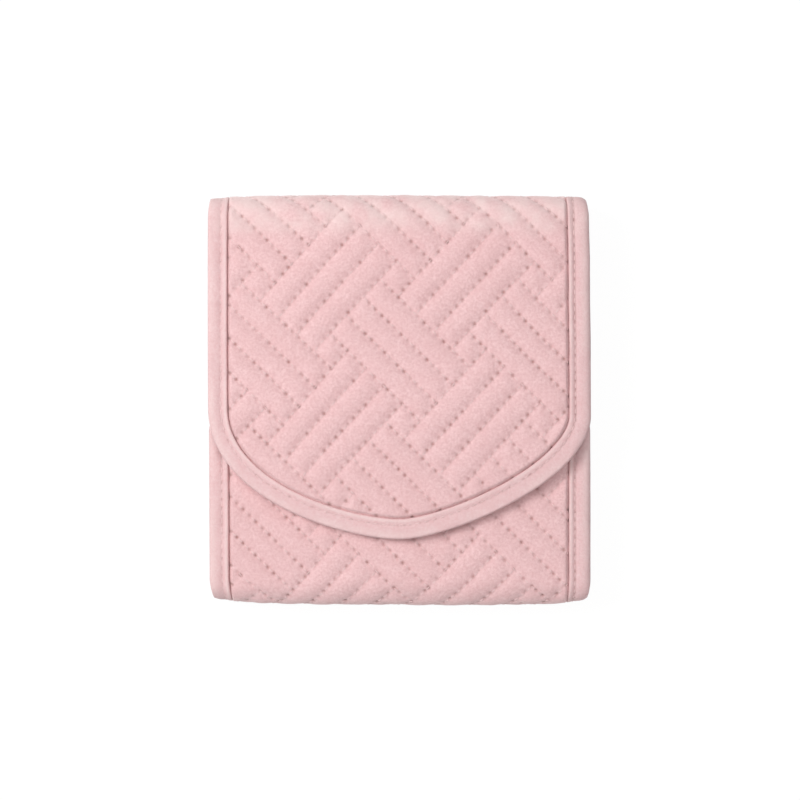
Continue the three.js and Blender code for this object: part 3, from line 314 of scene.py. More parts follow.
# Smooth random fields with fixed seeds
def value_noise(x, y, scale, seed):
    """Smooth noise from -1 to 1 with features about scale wide."""
    table = np.random.default_rng(seed).uniform(-1, 1, (64, 64))
    u, v = np.asarray(x) / scale, np.asarray(y) / scale
    i, j = np.floor(u).astype(int), np.floor(v).astype(int)
    return between(lambda a, b: table[a % 64, b % 64], i, j, smooth_step(u - i), smooth_step(v - j))


def soft_noise(x, y, *layers):
    """Layers of noise, each given as its scale, seed and strength."""
    return sum(value_noise(x, y, scale, seed) * strength for scale, seed, strength in layers)


# Edges in strip coordinates: points and the direction into the panel
def half_flap_edge(side):
    """One half of the flap's edge, from the seam at the top fold to the tip."""
    start, side_pull, tip_pull = FLAP_CURVES[side]
    end = FLAP_TIP_Y + FLAP_TIP_RISE
    control = np.array([[HALF_WIDTH, start], [HALF_WIDTH, start - side_pull], [tip_pull, end], [0, end]])
    t = np.linspace(0, 1, 400)[:, None]
    curve = (
        (1 - t) ** 3 * control[0] + 3 * (1 - t) ** 2 * t * control[1]
        + 3 * (1 - t) * t ** 2 * control[2] + t ** 3 * control[3]
    )
    points = np.vstack([[HALF_WIDTH, FLAP_TURN - TOP_MIDDLE], curve])
    return np.stack([side * points[:, 0], flap_station(points[:, 1])], axis=1)


def flap_edge(step=EDGE_STEP):
    return resample(np.vstack([half_flap_edge(1), half_flap_edge(-1)[-2::-1]]), step)


def front_edge(step=EDGE_STEP):
    end = front_station(FRONT_EDGE_Y)
    angles = np.linspace(0, math.pi / 2, 24)
    r = FRONT_CORNER_RADIUS
    corner = np.stack([HALF_WIDTH - r + r * np.cos(angles), end + r - r * np.sin(angles)], axis=1)
    right = np.vstack([[HALF_WIDTH, BOTTOM_MIDDLE], corner])
    left = right[::-1] * [-1, 1]
    return resample(np.vstack([right, left]), step)


def lengths_along(points):
    return np.concatenate([[0], np.cumsum(np.linalg.norm(np.diff(points, axis=0), axis=1))])


def spread(points, lengths, count):
    """Points spaced evenly in the given lengths, in count steps."""
    at = np.linspace(0, lengths[-1], count + 1)
    return np.stack([np.interp(at, lengths, points[:, k]) for k in (0, 1)], axis=1)


def resample(points, step):
    lengths = lengths_along(points)
    return spread(points, lengths, max(2, int(round(lengths[-1] / step))))


def inward_normals(points, centre):
    along = np.gradient(points, axis=0)
    along /= np.linalg.norm(along, axis=1)[:, None]
    normal = np.stack([-along[:, 1], along[:, 0]], axis=1)
    wrong = np.sum(normal * (np.asarray(centre) - points), axis=1).mean() < 0
    return -normal if wrong else normal


def flap_inset(x, s):
    """Distance in from the flap's edge, negative outside it."""
    x, s = np.broadcast_arrays(np.asarray(x, float), s)
    shape = x.shape
    x, s = x.ravel(), s.ravel()
    inset = HALF_WIDTH - np.abs(x)
    edge = flap_edge(COARSE_EDGE_STEP)
    inner = inward_normals(edge, FLAP_CENTRE)
    curved = np.nonzero(s > flap_station(0))[0]
    for part in np.array_split(curved, max(1, len(curved) // 3000)):
        gap = np.stack([x[part], s[part]], axis=1)[:, None] - edge[None]
        nearest = np.argmin((gap ** 2).sum(2), axis=1)
        pick = gap[np.arange(len(part)), nearest]
        sign = np.sign((pick * inner[nearest]).sum(1))
        inset[part] = np.minimum(inset[part], sign * np.linalg.norm(pick, axis=1))
    return inset.reshape(shape)


def front_inset(x, s):
    r = FRONT_CORNER_RADIUS
    across = np.abs(x) - (HALF_WIDTH - r)
    along = (front_station(FRONT_EDGE_Y) + r) - s
    outside = np.hypot(np.maximum(across, 0), np.maximum(along, 0))
    return r - outside - np.minimum(np.maximum(across, along), 0)


def side_inset(x, s):
    return HALF_WIDTH - np.abs(x) + 0 * s


# Quilting
def strayed(x, y):
    """How far the sewn pattern strays from its straight layout towards the sides of the case."""
    left = smooth_step((-x - 20 * MM) / (30 * MM))
    right = smooth_step((x - 35 * MM) / (20 * MM)) * smooth_step(y / (25 * MM))
    high = smooth_step((y - 20 * MM) / (30 * MM))
    return STRAY * left * (1 - high), -STRAY * (left + 1.2 * right)


def to_blocks(x, s, origin, station):
    """Strip coordinates to block steps (u along the rising strips, v along the falling ones)."""
    seen_y = station(0) - s
    dx, dy = strayed(x, seen_y)
    matrix = np.linalg.inv(np.stack([BLOCK_RISING, BLOCK_FALLING], axis=1))
    px, py = x - dx - origin[0], seen_y - dy - origin[1]
    return matrix[0, 0] * px + matrix[0, 1] * py, matrix[1, 0] * px + matrix[1, 1] * py


def from_blocks(u, v, origin, station):
    """Block steps to strip coordinates, undoing to_blocks step by step."""
    seen = origin + np.multiply.outer(u, BLOCK_RISING) + np.multiply.outer(v, BLOCK_FALLING)
    x, y = seen[..., 0], seen[..., 1]
    for _ in range(4):
        dx, dy = strayed(x, y)
        x, y = seen[..., 0] + dx, seen[..., 1] + dy
    return x, station(0) - y


def strip_distances(u, v):
    """Distances to the nearest long and short side of the padded strip, and whether it rises."""
    step = (np.linalg.norm(BLOCK_RISING) + np.linalg.norm(BLOCK_FALLING)) / 2
    i, j = np.floor(u), np.floor(v)
    fu, fv = u - i, v - j
    even = (i + j) % 2 == 0
    share = STRIP_SHARE
    in_u, in_v = fu < 3 * share, fv < 3 * share
    square = ~in_u & ~in_v
    rising = np.where(even, in_v, ~in_u & in_v)
    along_u = np.where(fu >= 3 * share, np.where(even, fu, fu - 1), fu)
    along_v = np.where(fv >= 3 * share, np.where(even, fv - 1, fv), fv)
    across = np.where(rising, fv, fu) % share
    along = np.where(rising, along_u, along_v) + share
    side = np.minimum(across, share - across)
    end = np.minimum(along, 1 + share - along)
    side = np.where(square, np.minimum(fu - 3 * share, 1 - fu), side)
    end = np.where(square, np.minimum(fv - 3 * share, 1 - fv), end)
    return side * step, end * step, rising & ~square


def pillow(distance, reach):
    """Height of a padded strip from 0 at its seam to 1 at full reach."""
    t = np.clip(distance / reach, 0, 1)
    return 0.65 * np.sin(t * math.pi / 2) + 0.35 * smooth_step(t)


def rolled(distance, reach):
    """Height of a folded cloth edge, steep at its rim."""
    t = np.clip(distance / reach, 0, 1)
    return np.sqrt(1 - (1 - t) ** 2)


def seams(s_low, s_high, origin, station):
    """The stitched lines of the block pattern over a stretch, as rows of points in (x, s)."""
    lines = []
    reach = int((2 * HALF_WIDTH + 4 * HALF_LENGTH) / np.linalg.norm(BLOCK_RISING)) + 2
    for i in range(-reach, reach + 1):
        for j in range(-reach, reach + 1):
            for k in range(4):
                offset = STRIP_SHARE * k
                if (i + j) % 2 == 0:
                    ends = ((i - STRIP_SHARE, j + offset), (i + 1, j + offset))
                else:
                    ends = ((i + offset, j - STRIP_SHARE), (i + offset, j + 1))
                along = np.array(ends[0]) + np.linspace(0, 1, SEAM_POINTS)[:, None] * np.subtract(*ends[::-1])
                x, s = from_blocks(along[:, 0], along[:, 1], origin, station)
                if s.max() > s_low and s.min() < s_high and np.abs(x).min() < HALF_WIDTH:
                    lines.append(np.stack([x, s], axis=1))
    return lines


class Stretch:
    """A stretch of the strip that bends over one fold: its range, edge, joint and pattern."""

    def __init__(self, name, low, high, inset, bodies, bend, pattern):
        self.name, self.low, self.high, self.inset = name, low, high, inset
        self.bodies, self.bend = bodies, bend
        self.origin, self.station = pattern

    def attach(self, piece):
        start, end = self.bend
        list(self.bodies)
        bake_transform(piece)
        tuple(start)
        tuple(end)


def bend(start, end, low=0.0, high=1.0):
    """The part of the diagonal over a fold, from low to high along it, in which the cloth bends."""
    start, end = Vector(start), Vector(end)
    return tuple(start.lerp(end, low)), tuple(start.lerp(end, high))


def stretches():
    top, bottom = HALF_LENGTH, -HALF_LENGTH
    r = FOLD_RADIUS
    flap_pattern = (FLAP_ORIGIN, flap_station)
    front_pattern = (FRONT_ORIGIN, front_station)
    return {
        "back_upper": Stretch("back_upper", 0.0, TOP_MIDDLE, side_inset, ("back", "top_spine"),
                              bend((0, top - r, 0), (0, top, r), high=TOP_BEND_SHARE), flap_pattern),
        "flap": Stretch("flap", TOP_MIDDLE, flap_station(FLAP_TIP_Y), flap_inset, ("top_spine", "flap"),
                        bend((0, top, THICKNESS - r), (0, top - r, THICKNESS), low=1 - TOP_BEND_SHARE),
                        flap_pattern),
        "back_lower": Stretch("back_lower", BOTTOM_MIDDLE, 0.0, side_inset, ("back", "bottom_spine"),
                              bend((0, bottom + r, 0), (0, bottom, r), high=BOTTOM_BEND_SHARE), flap_pattern),
        "front": Stretch("front", front_station(FRONT_EDGE_Y), BOTTOM_MIDDLE, front_inset,
                         ("bottom_spine", "front"),
                         bend((0, bottom, FRONT_HEIGHT - r), (0, bottom + r, FRONT_HEIGHT),
                              low=1 - BOTTOM_BEND_SHARE), front_pattern),
    }


STRETCHES = stretches()


# Mesh helpers
def linked(name, mesh):
    piece = bpy.data.objects.new(name, mesh)
    bpy.context.scene.collection.objects.link(piece)
    return piece


def shaded(mesh, sharp=SHARP_CLOTH, smooth=True):
    """Shades a mesh smooth but for its edges past the sharp angle."""
    mesh.polygons.foreach_set("use_smooth", [smooth] * len(mesh.polygons))
    mesh.set_sharp_from_angle(angle=sharp)
    mesh.update()


def new_object(name, vertices, faces, material, smooth=True, sharp=SHARP_CLOTH):
    mesh = bpy.data.meshes.new(name)
    mesh.from_pydata([tuple(v) for v in vertices], [], [tuple(int(i) for i in f) for f in faces])
    mesh.validate()
    mesh.materials.append(material)
    tidy_normals(mesh)
    shaded(mesh, sharp, smooth)
    return linked(name, mesh)


def from_bmesh(name, bm, material):
    mesh = bpy.data.meshes.new(name)
    bm.to_mesh(mesh)
    bm.free()
    mesh.materials.append(material)
    return linked(name, mesh)


def drawn_faces(count, m):
    """Faces of a closed section of m points drawn along count stations, with both ends closed."""
    sides = [(k * m + j, k * m + (j + 1) % m) for k in range(count - 1) for j in range(m)]
    ends = [tuple(range(m))[::-1], tuple(range((count - 1) * m, count * m))]
    return [(a, b, b + m, a + m) for a, b in sides] + ends


def tidy_normals(mesh):
    bm = bmesh.new()
    bm.from_mesh(mesh)
    bmesh.ops.recalc_face_normals(bm, faces=bm.faces)
    bm.to_mesh(mesh)
    bm.free()


def point_attribute(piece, name, values):
    attribute = piece.data.attributes.new(name, "FLOAT", "POINT")
    attribute.data.foreach_set("value", np.asarray(values, np.float32))


def boundary_loops(faces):
    """Ordered boundary loops of a set of quads."""
    following = {}
    seen = set()
    for face in faces:
        for a, b in zip(face, np.roll(face, -1)):
            seen.add((int(a), int(b)))
    for a, b in seen:
        if (b, a) not in seen:
            following.setdefault(a, []).append(b)
    loops = []
    while following:
        start = next(iter(following))
        loop = [start]
        while True:
            nexts = following[loop[-1]]
            b = nexts.pop()
            if not nexts:
                del following[loop[-1]]
            if b == start:
                break
            loop.append(b)
        loops.append(loop)
    return loops


def crease(x, s):
    """How much the padding gives way inside the front fold, where the opened earring page lies over it."""
    across = smooth_step((CREASE_HALF_WIDTH - np.abs(x)) / (3 * MM))
    return CREASE_DEPTH * bell(s, CREASE_STATION, CREASE_SPREAD) * across


def face_grid(stretch, min_inset, window, step):
    """A grid over a stretch, where it lies far enough in from the edge: x, s, inset and quads."""
    low, high, half = window
    xs = np.linspace(-half, half, int(round(2 * half / step)) + 1)
    ss = np.linspace(low, high, int(round((high - low) / step)) + 1)
    gx, gs = np.meshgrid(xs, ss, indexing="ij")
    inset = stretch.inset(gx, gs)
    inside = inset >= min_inset - 1e-9
    cells = inside[:-1, :-1] & inside[1:, :-1] & inside[:-1, 1:] & inside[1:, 1:]
    index = np.arange(gx.size).reshape(gx.shape)
    quads = np.stack([index[:-1, :-1], index[1:, :-1], index[1:, 1:], index[:-1, 1:]], axis=-1)[cells]
    used = np.unique(quads)
    renumber = np.full(gx.size, -1)
    renumber[used] = np.arange(len(used))
    return gx.ravel()[used], gs.ravel()[used], inset.ravel()[used], renumber[quads]


def plain_back(stretch, min_inset, window, step, rim):
    """A coarse sheet inside a rim: its points in (x, s), its triangles and which point each rim point is."""
    low, high, half = window
    fx, fs = np.meshgrid(np.arange(-half, half, BACK_STEP), np.arange(low, high, BACK_STEP), indexing="ij")
    fx, fs = fx.ravel(), fs.ravel()
    keep = (stretch.inset(fx, fs) > min_inset + 2 * step) & (np.abs(fx) < half - step)
    keep &= (fs > low + step) & (fs < high - step)
    flat = np.vstack([rim, np.stack([fx[keep], fs[keep]], axis=1)])
    points, _, triangles, origins, *_ = delaunay_2d_cdt(
        [Vector(p) for p in flat], [], [list(range(len(rim)))], 1, 1e-7)
    on_rim = {o: k for k, source in enumerate(origins) for o in source if o < len(rim)}
    return np.array([tuple(p) for p in points]), triangles, on_rim


def closed_sheet(name, stretch, min_inset, face_depth, back_depth, step, material, shade=None, window=None):
    """A closed piece of cloth on a stretch: a fine face, a plain back and the walls between them.

    face_depth(x, s, inset) gives the shown face's depth, and shade(x, s, inset) values from 0 to 1.
    """
    window = window or (stretch.low, stretch.high, HALF_WIDTH)
    x, s, n, quads = face_grid(stretch, min_inset, window, step)
    rim = np.array(max(boundary_loops(quads), key=len))
    flat, triangles, on_rim = plain_back(stretch, min_inset, window, step, np.stack([x[rim], s[rim]], axis=1))
    count = len(x)
    following = np.roll(np.arange(len(rim)), -1)
    walls = [(rim[a], rim[b], count + on_rim[b], count + on_rim[a]) for a, b in enumerate(following)]
    faces = [tuple(q) for q in quads] + walls + [tuple(count + i for i in t) for t in triangles]
    front = fold(x, s, face_depth(x, s, n))
    back = fold(flat[:, 0], flat[:, 1], back_depth - BACK_GIVE * crease(flat[:, 0], flat[:, 1]))
    piece = new_object(name, np.vstack([front, back]), faces, material)
    if shade is not None:
        # Painted shade in holes and slot, and the painted highlight over the top fold
        for mark, values in (("needle", shade(x, s, n)), ("worn", fold_sheen(x, s))):
            point_attribute(piece, mark, np.concatenate([values, np.zeros(len(back))]))
    return piece


def fold_sheen(x, s):
    """Painted highlight, a pale sheen, where the case turns over its top fold, in soft patches."""
    patches = 0.65 + soft_noise(x, s, (5 * MM, 17, 0.5), (1.8 * MM, 18, 0.2))
    near_fold = smooth_step((np.abs(s) - STRAIGHT + 4 * MM) / (7 * MM))
    near_fold *= smooth_step((FLAP_FOLD_END - s) / (9 * MM))
    return np.clip(patches * near_fold * (s > 0), 0, 1)


def fold_share(s):
    """0 on the flat panels and 1 on the walls between the folds."""
    run = np.abs(s) - STRAIGHT
    wall = np.where(s < 0, BOTTOM_WALL, TOP_WALL)
    angle = np.clip(run, 0, QUARTER_TURN) + np.clip(run - QUARTER_TURN - wall, 0, QUARTER_TURN)
    return np.sin(angle / FOLD_RADIUS) ** 2


def band_on_wall(depth, plain, s):
    """The band's outer face, pushed out on the walls, its groove flatter there and on the curve."""
    outer = np.clip((BAND_MIDDLE - plain) / MM, 0, 1)
    on_curve = smooth_step((s - flap_station(0)) / (18 * MM))
    flat = np.maximum(BAND_FLAT * fold_share(s), CURVE_FLAT * on_curve)
    groove = np.where(plain < BAND_GROOVE, flat * (BAND_FACE - plain), 0)
    return depth + groove - fold_share(s) * BAND_PUSH * outer


def rim_drop(x, insets, depths):
    """The band's outer rim is rounder on the right-hand side of the case."""
    near_rim = np.clip(1 - insets / RIM_WIDTH, 0, 1) ** 2
    return RIM_DROP * smooth_step((x - RIM_DROP_X) / (5 * MM)) * near_rim * (depths < 3 * MM)


def sweep(name, points, inward, section, depth_change, material, shade):
    """Sweeps a closed section of (inset, depth) along an edge in strip coordinates."""
    lengths = lengths_along(points)
    places, depths = section[:, 0], section[:, 1]
    widening = np.interp(places, [THREAD_INSET, THREAD_INSET + 2 * MM], [THREAD_WIDENING, BAND_WIDENING])
    insets = places[None] * (1 + widening[None] * points[:, 0][:, None] / HALF_WIDTH)
    x = points[:, 0][:, None] + inward[:, 0][:, None] * insets
    s = points[:, 1][:, None] + inward[:, 1][:, None] * insets
    d = depths[None] + depth_change(lengths[:, None], insets, depths[None])
    d = band_on_wall(d, depths[None], s) + rim_drop(x, insets, depths[None])
    vertices = fold(x.ravel(), s.ravel(), d.ravel())
    piece = new_object(name, vertices, drawn_faces(len(points), len(section)), material)
    # Painted shade in the band's stitch groove
    point_attribute(piece, "needle", shade(lengths[:, None], places[None], depths[None]).ravel())
    # Painted highlight on the band's rim and on its ridge beside the quilting, joined with the top fold's
    # painted highlight
    outside = depths < OUTER_HALF
    along = 0.5 + 0.5 * value_noise(lengths, 0 * lengths, 9 * MM, 19)[:, None]
    rim = bell(places, *HIGHLIGHT_RIM) * outside
    ridge_highlight = 0.85 * bell(places, *HIGHLIGHT_RIDGE) * outside
    painted_highlight = np.maximum(rim[None] * along * 0.6, ridge_highlight[None] * (0.35 + 0.65 * along))
    point_attribute(piece, "worn", np.maximum(0.8 * fold_sheen(x, s), painted_highlight).ravel())
    return piece


# Settings
def colour(name, description, value):
    return FloatVectorProperty(name=name, description=description, subtype="COLOR", size=3, min=0, max=1,
                               default=value)


def length(name, description, value, low=0.0):
    return FloatProperty(name=name, description=description, default=value, min=low, max=0.05, precision=5,
                         unit="LENGTH")


class OrganizerSizes(bpy.types.PropertyGroup):
    quilt_step: length("Quilt mesh step", "Grid step of the quilted covers", 0.5 * MM, 0.2 * MM)
    pillow_reach: length("Pillow rounding", "How far from its seam a pillow has its full height", 3.9 * MM)
    pillow_end_reach: length("Pillow end rounding", "The same at the short ends of a pillow", 4.4 * MM)
    wrinkle: length("Wrinkles", "Height of the soft wrinkles in the quilting", 0.16 * MM)
    stitch_pitch: length("Stitch pitch", "Distance from needle hole to needle hole", 3.1 * MM, 1 * MM)
    thread_radius: length("Thread radius", "Radius of the sewing thread", 0.22 * MM)
    needle_depth: length("Needle hole depth", "How deep a stitch pulls the cloth at the needle", 0.52 * MM)
    pucker_depth: length("Pucker depth", "How deep the cloth puckers round a needle hole", 0.29 * MM)
    tooth_pitch: length("Zip tooth pitch", "Distance between teeth of one row", 2 * MM, 0.5 * MM)
    metal_bevel: length("Metal edge rounding", "Rounding of the edges of metal fittings", 0.22 * MM)


class OrganizerColours(bpy.types.PropertyGroup):
    velvet: colour("Velvet", "Outer quilted velvet", (0.877, 0.63, 0.634))
    velvet_shade: colour("Velvet shade", "Darker nap of the velvet", (0.663, 0.391, 0.395))
    # Painted highlight: a pale colour standing in for the velvet's sheen at the top fold and on the band's rim
    # and ridge
    worn: colour("Painted sheen", "Painted sheen on the top fold and painted highlight on band rims", (0.81, 0.65, 0.628))
    binding: colour("Binding", "Velvet of the bound edges", (0.776, 0.583, 0.588))
    # Painted shade: laid into the needle holes, the band's stitch groove and the slot beside the band
    needle: colour("Needle hole", "Painted shade in needle holes, grooves and the slot", (0.25, 0.10, 0.078))
    thread: colour("Thread", "Sewing thread", (0.84, 0.60, 0.595))
    lining: colour("Lining", "Inner velvet", (0.74, 0.47, 0.48))
    pad: colour("Pads", "Ring roll, straps, tabs and earring page", (0.77, 0.50, 0.51))
    elastic: colour("Elastic", "Elastic band of the flap pocket", (0.70, 0.42, 0.44))
    gold: colour("Gold", "Zip and press studs", (0.80, 0.56, 0.32))
    steel: colour("Steel", "Hidden washers and magnet", (0.42, 0.43, 0.45))
    board: colour("Board", "Stiffener inside the panels", (0.42, 0.33, 0.23))


# Materials
class Look:
    """A new material with its shader, and ways to add nodes to it."""

    def __init__(self, name):
        self.material = bpy.data.materials.new(name)
        self.material.use_nodes = True
        self.nodes, self.links = self.material.node_tree.nodes, self.material.node_tree.links
        self.shader = self.nodes["Principled BSDF"]

    def feed(self, node, inputs):
        """Links or sets inputs of a node; colours are given without alpha."""
        for key, value in inputs.items():
            socket = node.inputs[key]
            if isinstance(value, bpy.types.NodeSocket):
                self.links.new(value, socket)
            elif socket.type == "RGBA":
                socket.default_value = (*value, 1)
            else:
                socket.default_value = value

    def add(self, kind, inputs, **settings):
        node = self.nodes.new("ShaderNode" + kind)
        for key, value in settings.items():
            setattr(node, key, value)
        self.feed(node, inputs)
        return node

    def finished(self, inputs):
        self.feed(self.shader, inputs)
        return self.material

    @functools.cached_property
    def place(self):
        return self.add("TexCoord", {}).outputs["Object"]

    def noise(self, scale, detail=3.0, roughness=0.5, vector=None):
        inputs = {"Scale": scale, "Detail": detail, "Roughness": roughness, "Vector": vector or self.place}
        return self.add("TexNoise", inputs).outputs["Fac"]

    def ranged(self, value, from_low, from_high, to_low=0, to_high=1):
        return self.add("MapRange", {"Value": value, "From Min": from_low, "From Max": from_high,
                                     "To Min": to_low, "To Max": to_high}).outputs["Result"]

    def mixed(self, share, a, b):
        return self.add("Mix", {0: share, 6: a, 7: b}, data_type="RGBA").outputs[2]

    def maths(self, operation, a, b):
        return self.add("Math", {0: a, 1: b}, operation=operation).outputs[0]

    def bumped(self, height, strength, distance, **below):
        inputs = {"Height": height, "Strength": strength, "Distance": distance, **below}
        return self.add("Bump", inputs).outputs["Normal"]


def velvet(name, light, shade, sheen=0.5, grain=1.0):
    """Brushed suede-like velvet: patchy nap, fine pile, a painted highlight for the sheen at the top fold and
    band rims, and painted shade in needle holes and grooves.
    """
    tints = bpy.context.scene.organizer_colours
    look = Look(name)
    nap = look.ranged(look.noise(55, 2), 0.35, 0.68)
    patches = look.ranged(look.noise(330, 3, 0.6), 0.32, 0.7)
    pile = look.ranged(look.noise(1000, 4, 0.75), 0.38, 0.62)
    base = light
    for texture, least, most in ((nap, 0, 0.22), (patches, 0.08, 0.34), (pile, 0.22 * grain, 0.78 * grain)):
        base = look.mixed(look.ranged(texture, 0, 1, least, most), base, shade)
    # Colours painted from the mesh: the painted highlight at the top fold and band rims, and painted shade in
    # needle holes, grooves and the slot
    for mark, start, most, tint in (("worn", 0, 0.62, tints.worn), ("needle", 0.05, 0.85, tints.needle)):
        value = look.add("Attribute", {}, attribute_name=mark).outputs["Fac"]
        base = look.mixed(look.ranged(value, start, 1, 0, most), base, tuple(tint))
    coarse = look.bumped(patches, 0.25, 0.00012)
    return look.finished({
        "Base Color": base, "Roughness": look.ranged(patches, 0, 1, 0.82, 0.95), "Sheen Weight": sheen,
        "Sheen Roughness": 0.5, "Sheen Tint": (1, 0.94, 0.92), "Specular IOR Level": 0.2,
        "Normal": look.bumped(pile, 0.6 * grain, 0.00012, Normal=coarse)})


def woven(name, light, shade, threads, roughness=0.75):
    """Plain weave in object coordinates, for tape, elastic and thread."""
    look = Look(name)
    waves = []
    for direction in ("X", "Y"):
        inputs = {"Scale": threads / 2, "Distortion": 0.6, "Detail": 1, "Vector": look.place}
        waves.append(look.add("TexWave", inputs, wave_type="BANDS", bands_direction=direction).outputs["Fac"])
    weave = look.maths("MULTIPLY", *waves)
    base = look.mixed(look.ranged(weave, 0, 0.6, 0.55, 0), light, shade)
    base = look.mixed(look.ranged(look.noise(260), 0.3, 0.7, 0, 0.3), base, shade)
    return look.finished({"Base Color": base, "Roughness": roughness, "Sheen Weight": 0.12,
                          "Normal": look.bumped(weave, 0.5, 0.0001)})


def metal(name, tint, roughness=0.24):
    """Plated metal with fine brushing and soft wear."""
    look = Look(name)
    wear = look.ranged(look.noise(420, 4, 0.6), 0.35, 0.7)
    stretched = look.add("Mapping", {"Vector": look.place, "Scale": (1, 14, 1)}).outputs["Vector"]
    darker = tuple(0.72 * c for c in tint)
    return look.finished({
        "Base Color": look.mixed(look.ranged(wear, 0, 1, 0, 0.4), tint, darker), "Metallic": 1,
        "Roughness": look.ranged(wear, 0, 1, roughness, roughness + 0.16),
        "Normal": look.bumped(look.noise(700, 2, vector=stretched), 0.12, 0.00004)})


def fibreboard(name, tint):
    """Pressed paper board with visible fibres."""
    look = Look(name)
    fibre = look.noise(1400, 4, 0.7)
    base = look.mixed(look.ranged(fibre, 0.3, 0.7), tint, tuple(0.6 * c for c in tint))
    return look.finished({"Base Color": base, "Roughness": 0.9, "Normal": look.bumped(fibre, 0.4, 0.0001)})


def finishes():
    """The finishes of the part, made once from the chosen colours."""
    if FINISH_NAMES["velvet"] in bpy.data.materials:
        return {key: bpy.data.materials[name] for key, name in FINISH_NAMES.items()}
    c = bpy.context.scene.organizer_colours
    tone = lambda tint, factor=1: tuple(factor * x for x in tint)
    makers = {
        "velvet": (velvet, tone(c.velvet), tone(c.velvet_shade)),
        "binding": (velvet, tone(c.binding), tone(c.velvet_shade), 0.2, 0.8),
        "lining": (velvet, tone(c.lining), tone(c.lining, 0.8), 0.25),
        "pad": (velvet, tone(c.pad), tone(c.pad, 0.82), 0.3),
        "thread": (woven, tone(c.thread), tone(c.thread, 0.78), 3000),
        "tape": (woven, tone(c.elastic, 1.08), tone(c.elastic, 0.8), 1500),
        "elastic": (woven, tone(c.elastic), tone(c.elastic, 0.72), 1100, 0.7),
        "gold": (metal, tone(c.gold)),
        "steel": (metal, tone(c.steel), 0.35),
        "board": (fibreboard, tone(c.board)),
    }
    return {key: make(FINISH_NAMES[key], *options) for key, (make, *options) in makers.items()}


# Geometry Nodes: stitches along seams, and small parts repeated along a row
def new_tree(name, sockets):
    tree = bpy.data.node_groups.new(name, "GeometryNodeTree")
    tree.interface.new_socket("Geometry", in_out="INPUT", socket_type="NodeSocketGeometry")
    for label, kind in sockets:
        tree.interface.new_socket(label, in_out="INPUT", socket_type="NodeSocket" + kind)
    tree.interface.new_socket("Geometry", in_out="OUTPUT", socket_type="NodeSocketGeometry")
    return tree, tree.nodes.new("NodeGroupInput"), tree.nodes.new("NodeGroupOutput")


def turned_to(tree, up, along):
    """A rotation whose Z follows up and whose X follows along."""
    first = tree.nodes.new("FunctionNodeAlignRotationToVector")
    first.axis = "Z"
    second = tree.nodes.new("FunctionNodeAlignRotationToVector")
    second.axis = "X"
    second.pivot_axis = "Z"
    tree.links.new(up, first.inputs["Vector"])
    tree.links.new(first.outputs["Rotation"], second.inputs["Rotation"])
    tree.links.new(along, second.inputs["Vector"])
    return second.outputs["Rotation"]


def wire(tree, links):
    """Links nodes, given as rows of a node, its output, the next node and its input."""
    for source, output, target, entry in links:
        tree.links.new(source.outputs[output], target.inputs[entry])


def named_vector(tree, name):
    node = tree.nodes.new("GeometryNodeInputNamedAttribute")
    node.data_type = "FLOAT_VECTOR"
    node.inputs["Name"].default_value = name
    return node.outputs["Attribute"]


def finish_tree(tree, place, group, output):
    """Makes the instances real, smooth and painted, as the tree's result."""
    real, smooth, paint = [tree.nodes.new("GeometryNode" + kind)
                           for kind in ("RealizeInstances", "SetShadeSmooth", "SetMaterial")]
    wire(tree, (
        (place, "Instances", real, "Geometry"), (real, "Geometry", smooth, "Geometry"),
        (smooth, "Geometry", paint, "Geometry"), (group, "Material", paint, "Material"),
        (paint, "Geometry", output, "Geometry"),
    ))


def stitch_tree():
    """Rows of stitches along seam lines; each seam point carries the cloth's outward direction as up."""
    if "Stitch rows" in bpy.data.node_groups:
        return bpy.data.node_groups["Stitch rows"]
    tree, group, output = new_tree("Stitch rows", [
        ("Pitch", "Float"), ("Stitch Length", "Float"), ("Thread Radius", "Float"), ("Material", "Material")])
    new = tree.nodes.new
    curve = new("GeometryNodeMeshToCurve")
    spaced = new("GeometryNodeResampleCurve")
    spaced.mode = "LENGTH"
    line = new("GeometryNodeCurveToMesh")
    ends = new("GeometryNodeInputMeshEdgeVertices")
    along = new("ShaderNodeVectorMath")
    along.operation = "SUBTRACT"
    keep = new("GeometryNodeCaptureAttribute")
    keep.domain = "EDGE"
    keep.capture_items.new("VECTOR", "Along")
    middles = new("GeometryNodeMeshToPoints")
    middles.mode = "EDGES"
    capsule = new("GeometryNodeMeshUVSphere")
    for key, value in (("Segments", 8), ("Rings", 7), ("Radius", 1)):
        capsule.inputs[key].default_value = value
    size = new("ShaderNodeCombineXYZ")
    half = new("ShaderNodeMath")
    half.operation = "MULTIPLY"
    half.inputs[1].default_value = 0.5
    shaped = new("GeometryNodeTransform")
    place = new("GeometryNodeInstanceOnPoints")
    wire(tree, (
        (group, "Geometry", curve, "Mesh"), (curve, "Curve", spaced, "Curve"),
        (group, "Pitch", spaced, "Length"), (spaced, "Curve", line, "Curve"),
        (line, "Mesh", keep, "Geometry"), (ends, "Position 2", along, 0),
        (ends, "Position 1", along, 1), (along, "Vector", keep, "Along"), (keep, "Geometry", middles, "Mesh"),
        (group, "Stitch Length", half, 0), (half, 0, size, "X"), (group, "Thread Radius", size, "Y"),
        (group, "Thread Radius", size, "Z"), (capsule, "Mesh", shaped, "Geometry"),
        (size, "Vector", shaped, "Scale"), (middles, "Points", place, "Points"),
        (shaped, "Geometry", place, "Instance"),
    ))
    turned = turned_to(tree, named_vector(tree, "up"), keep.outputs["Along"])
    tree.links.new(turned, place.inputs["Rotation"])
    finish_tree(tree, place, group, output)
    return tree


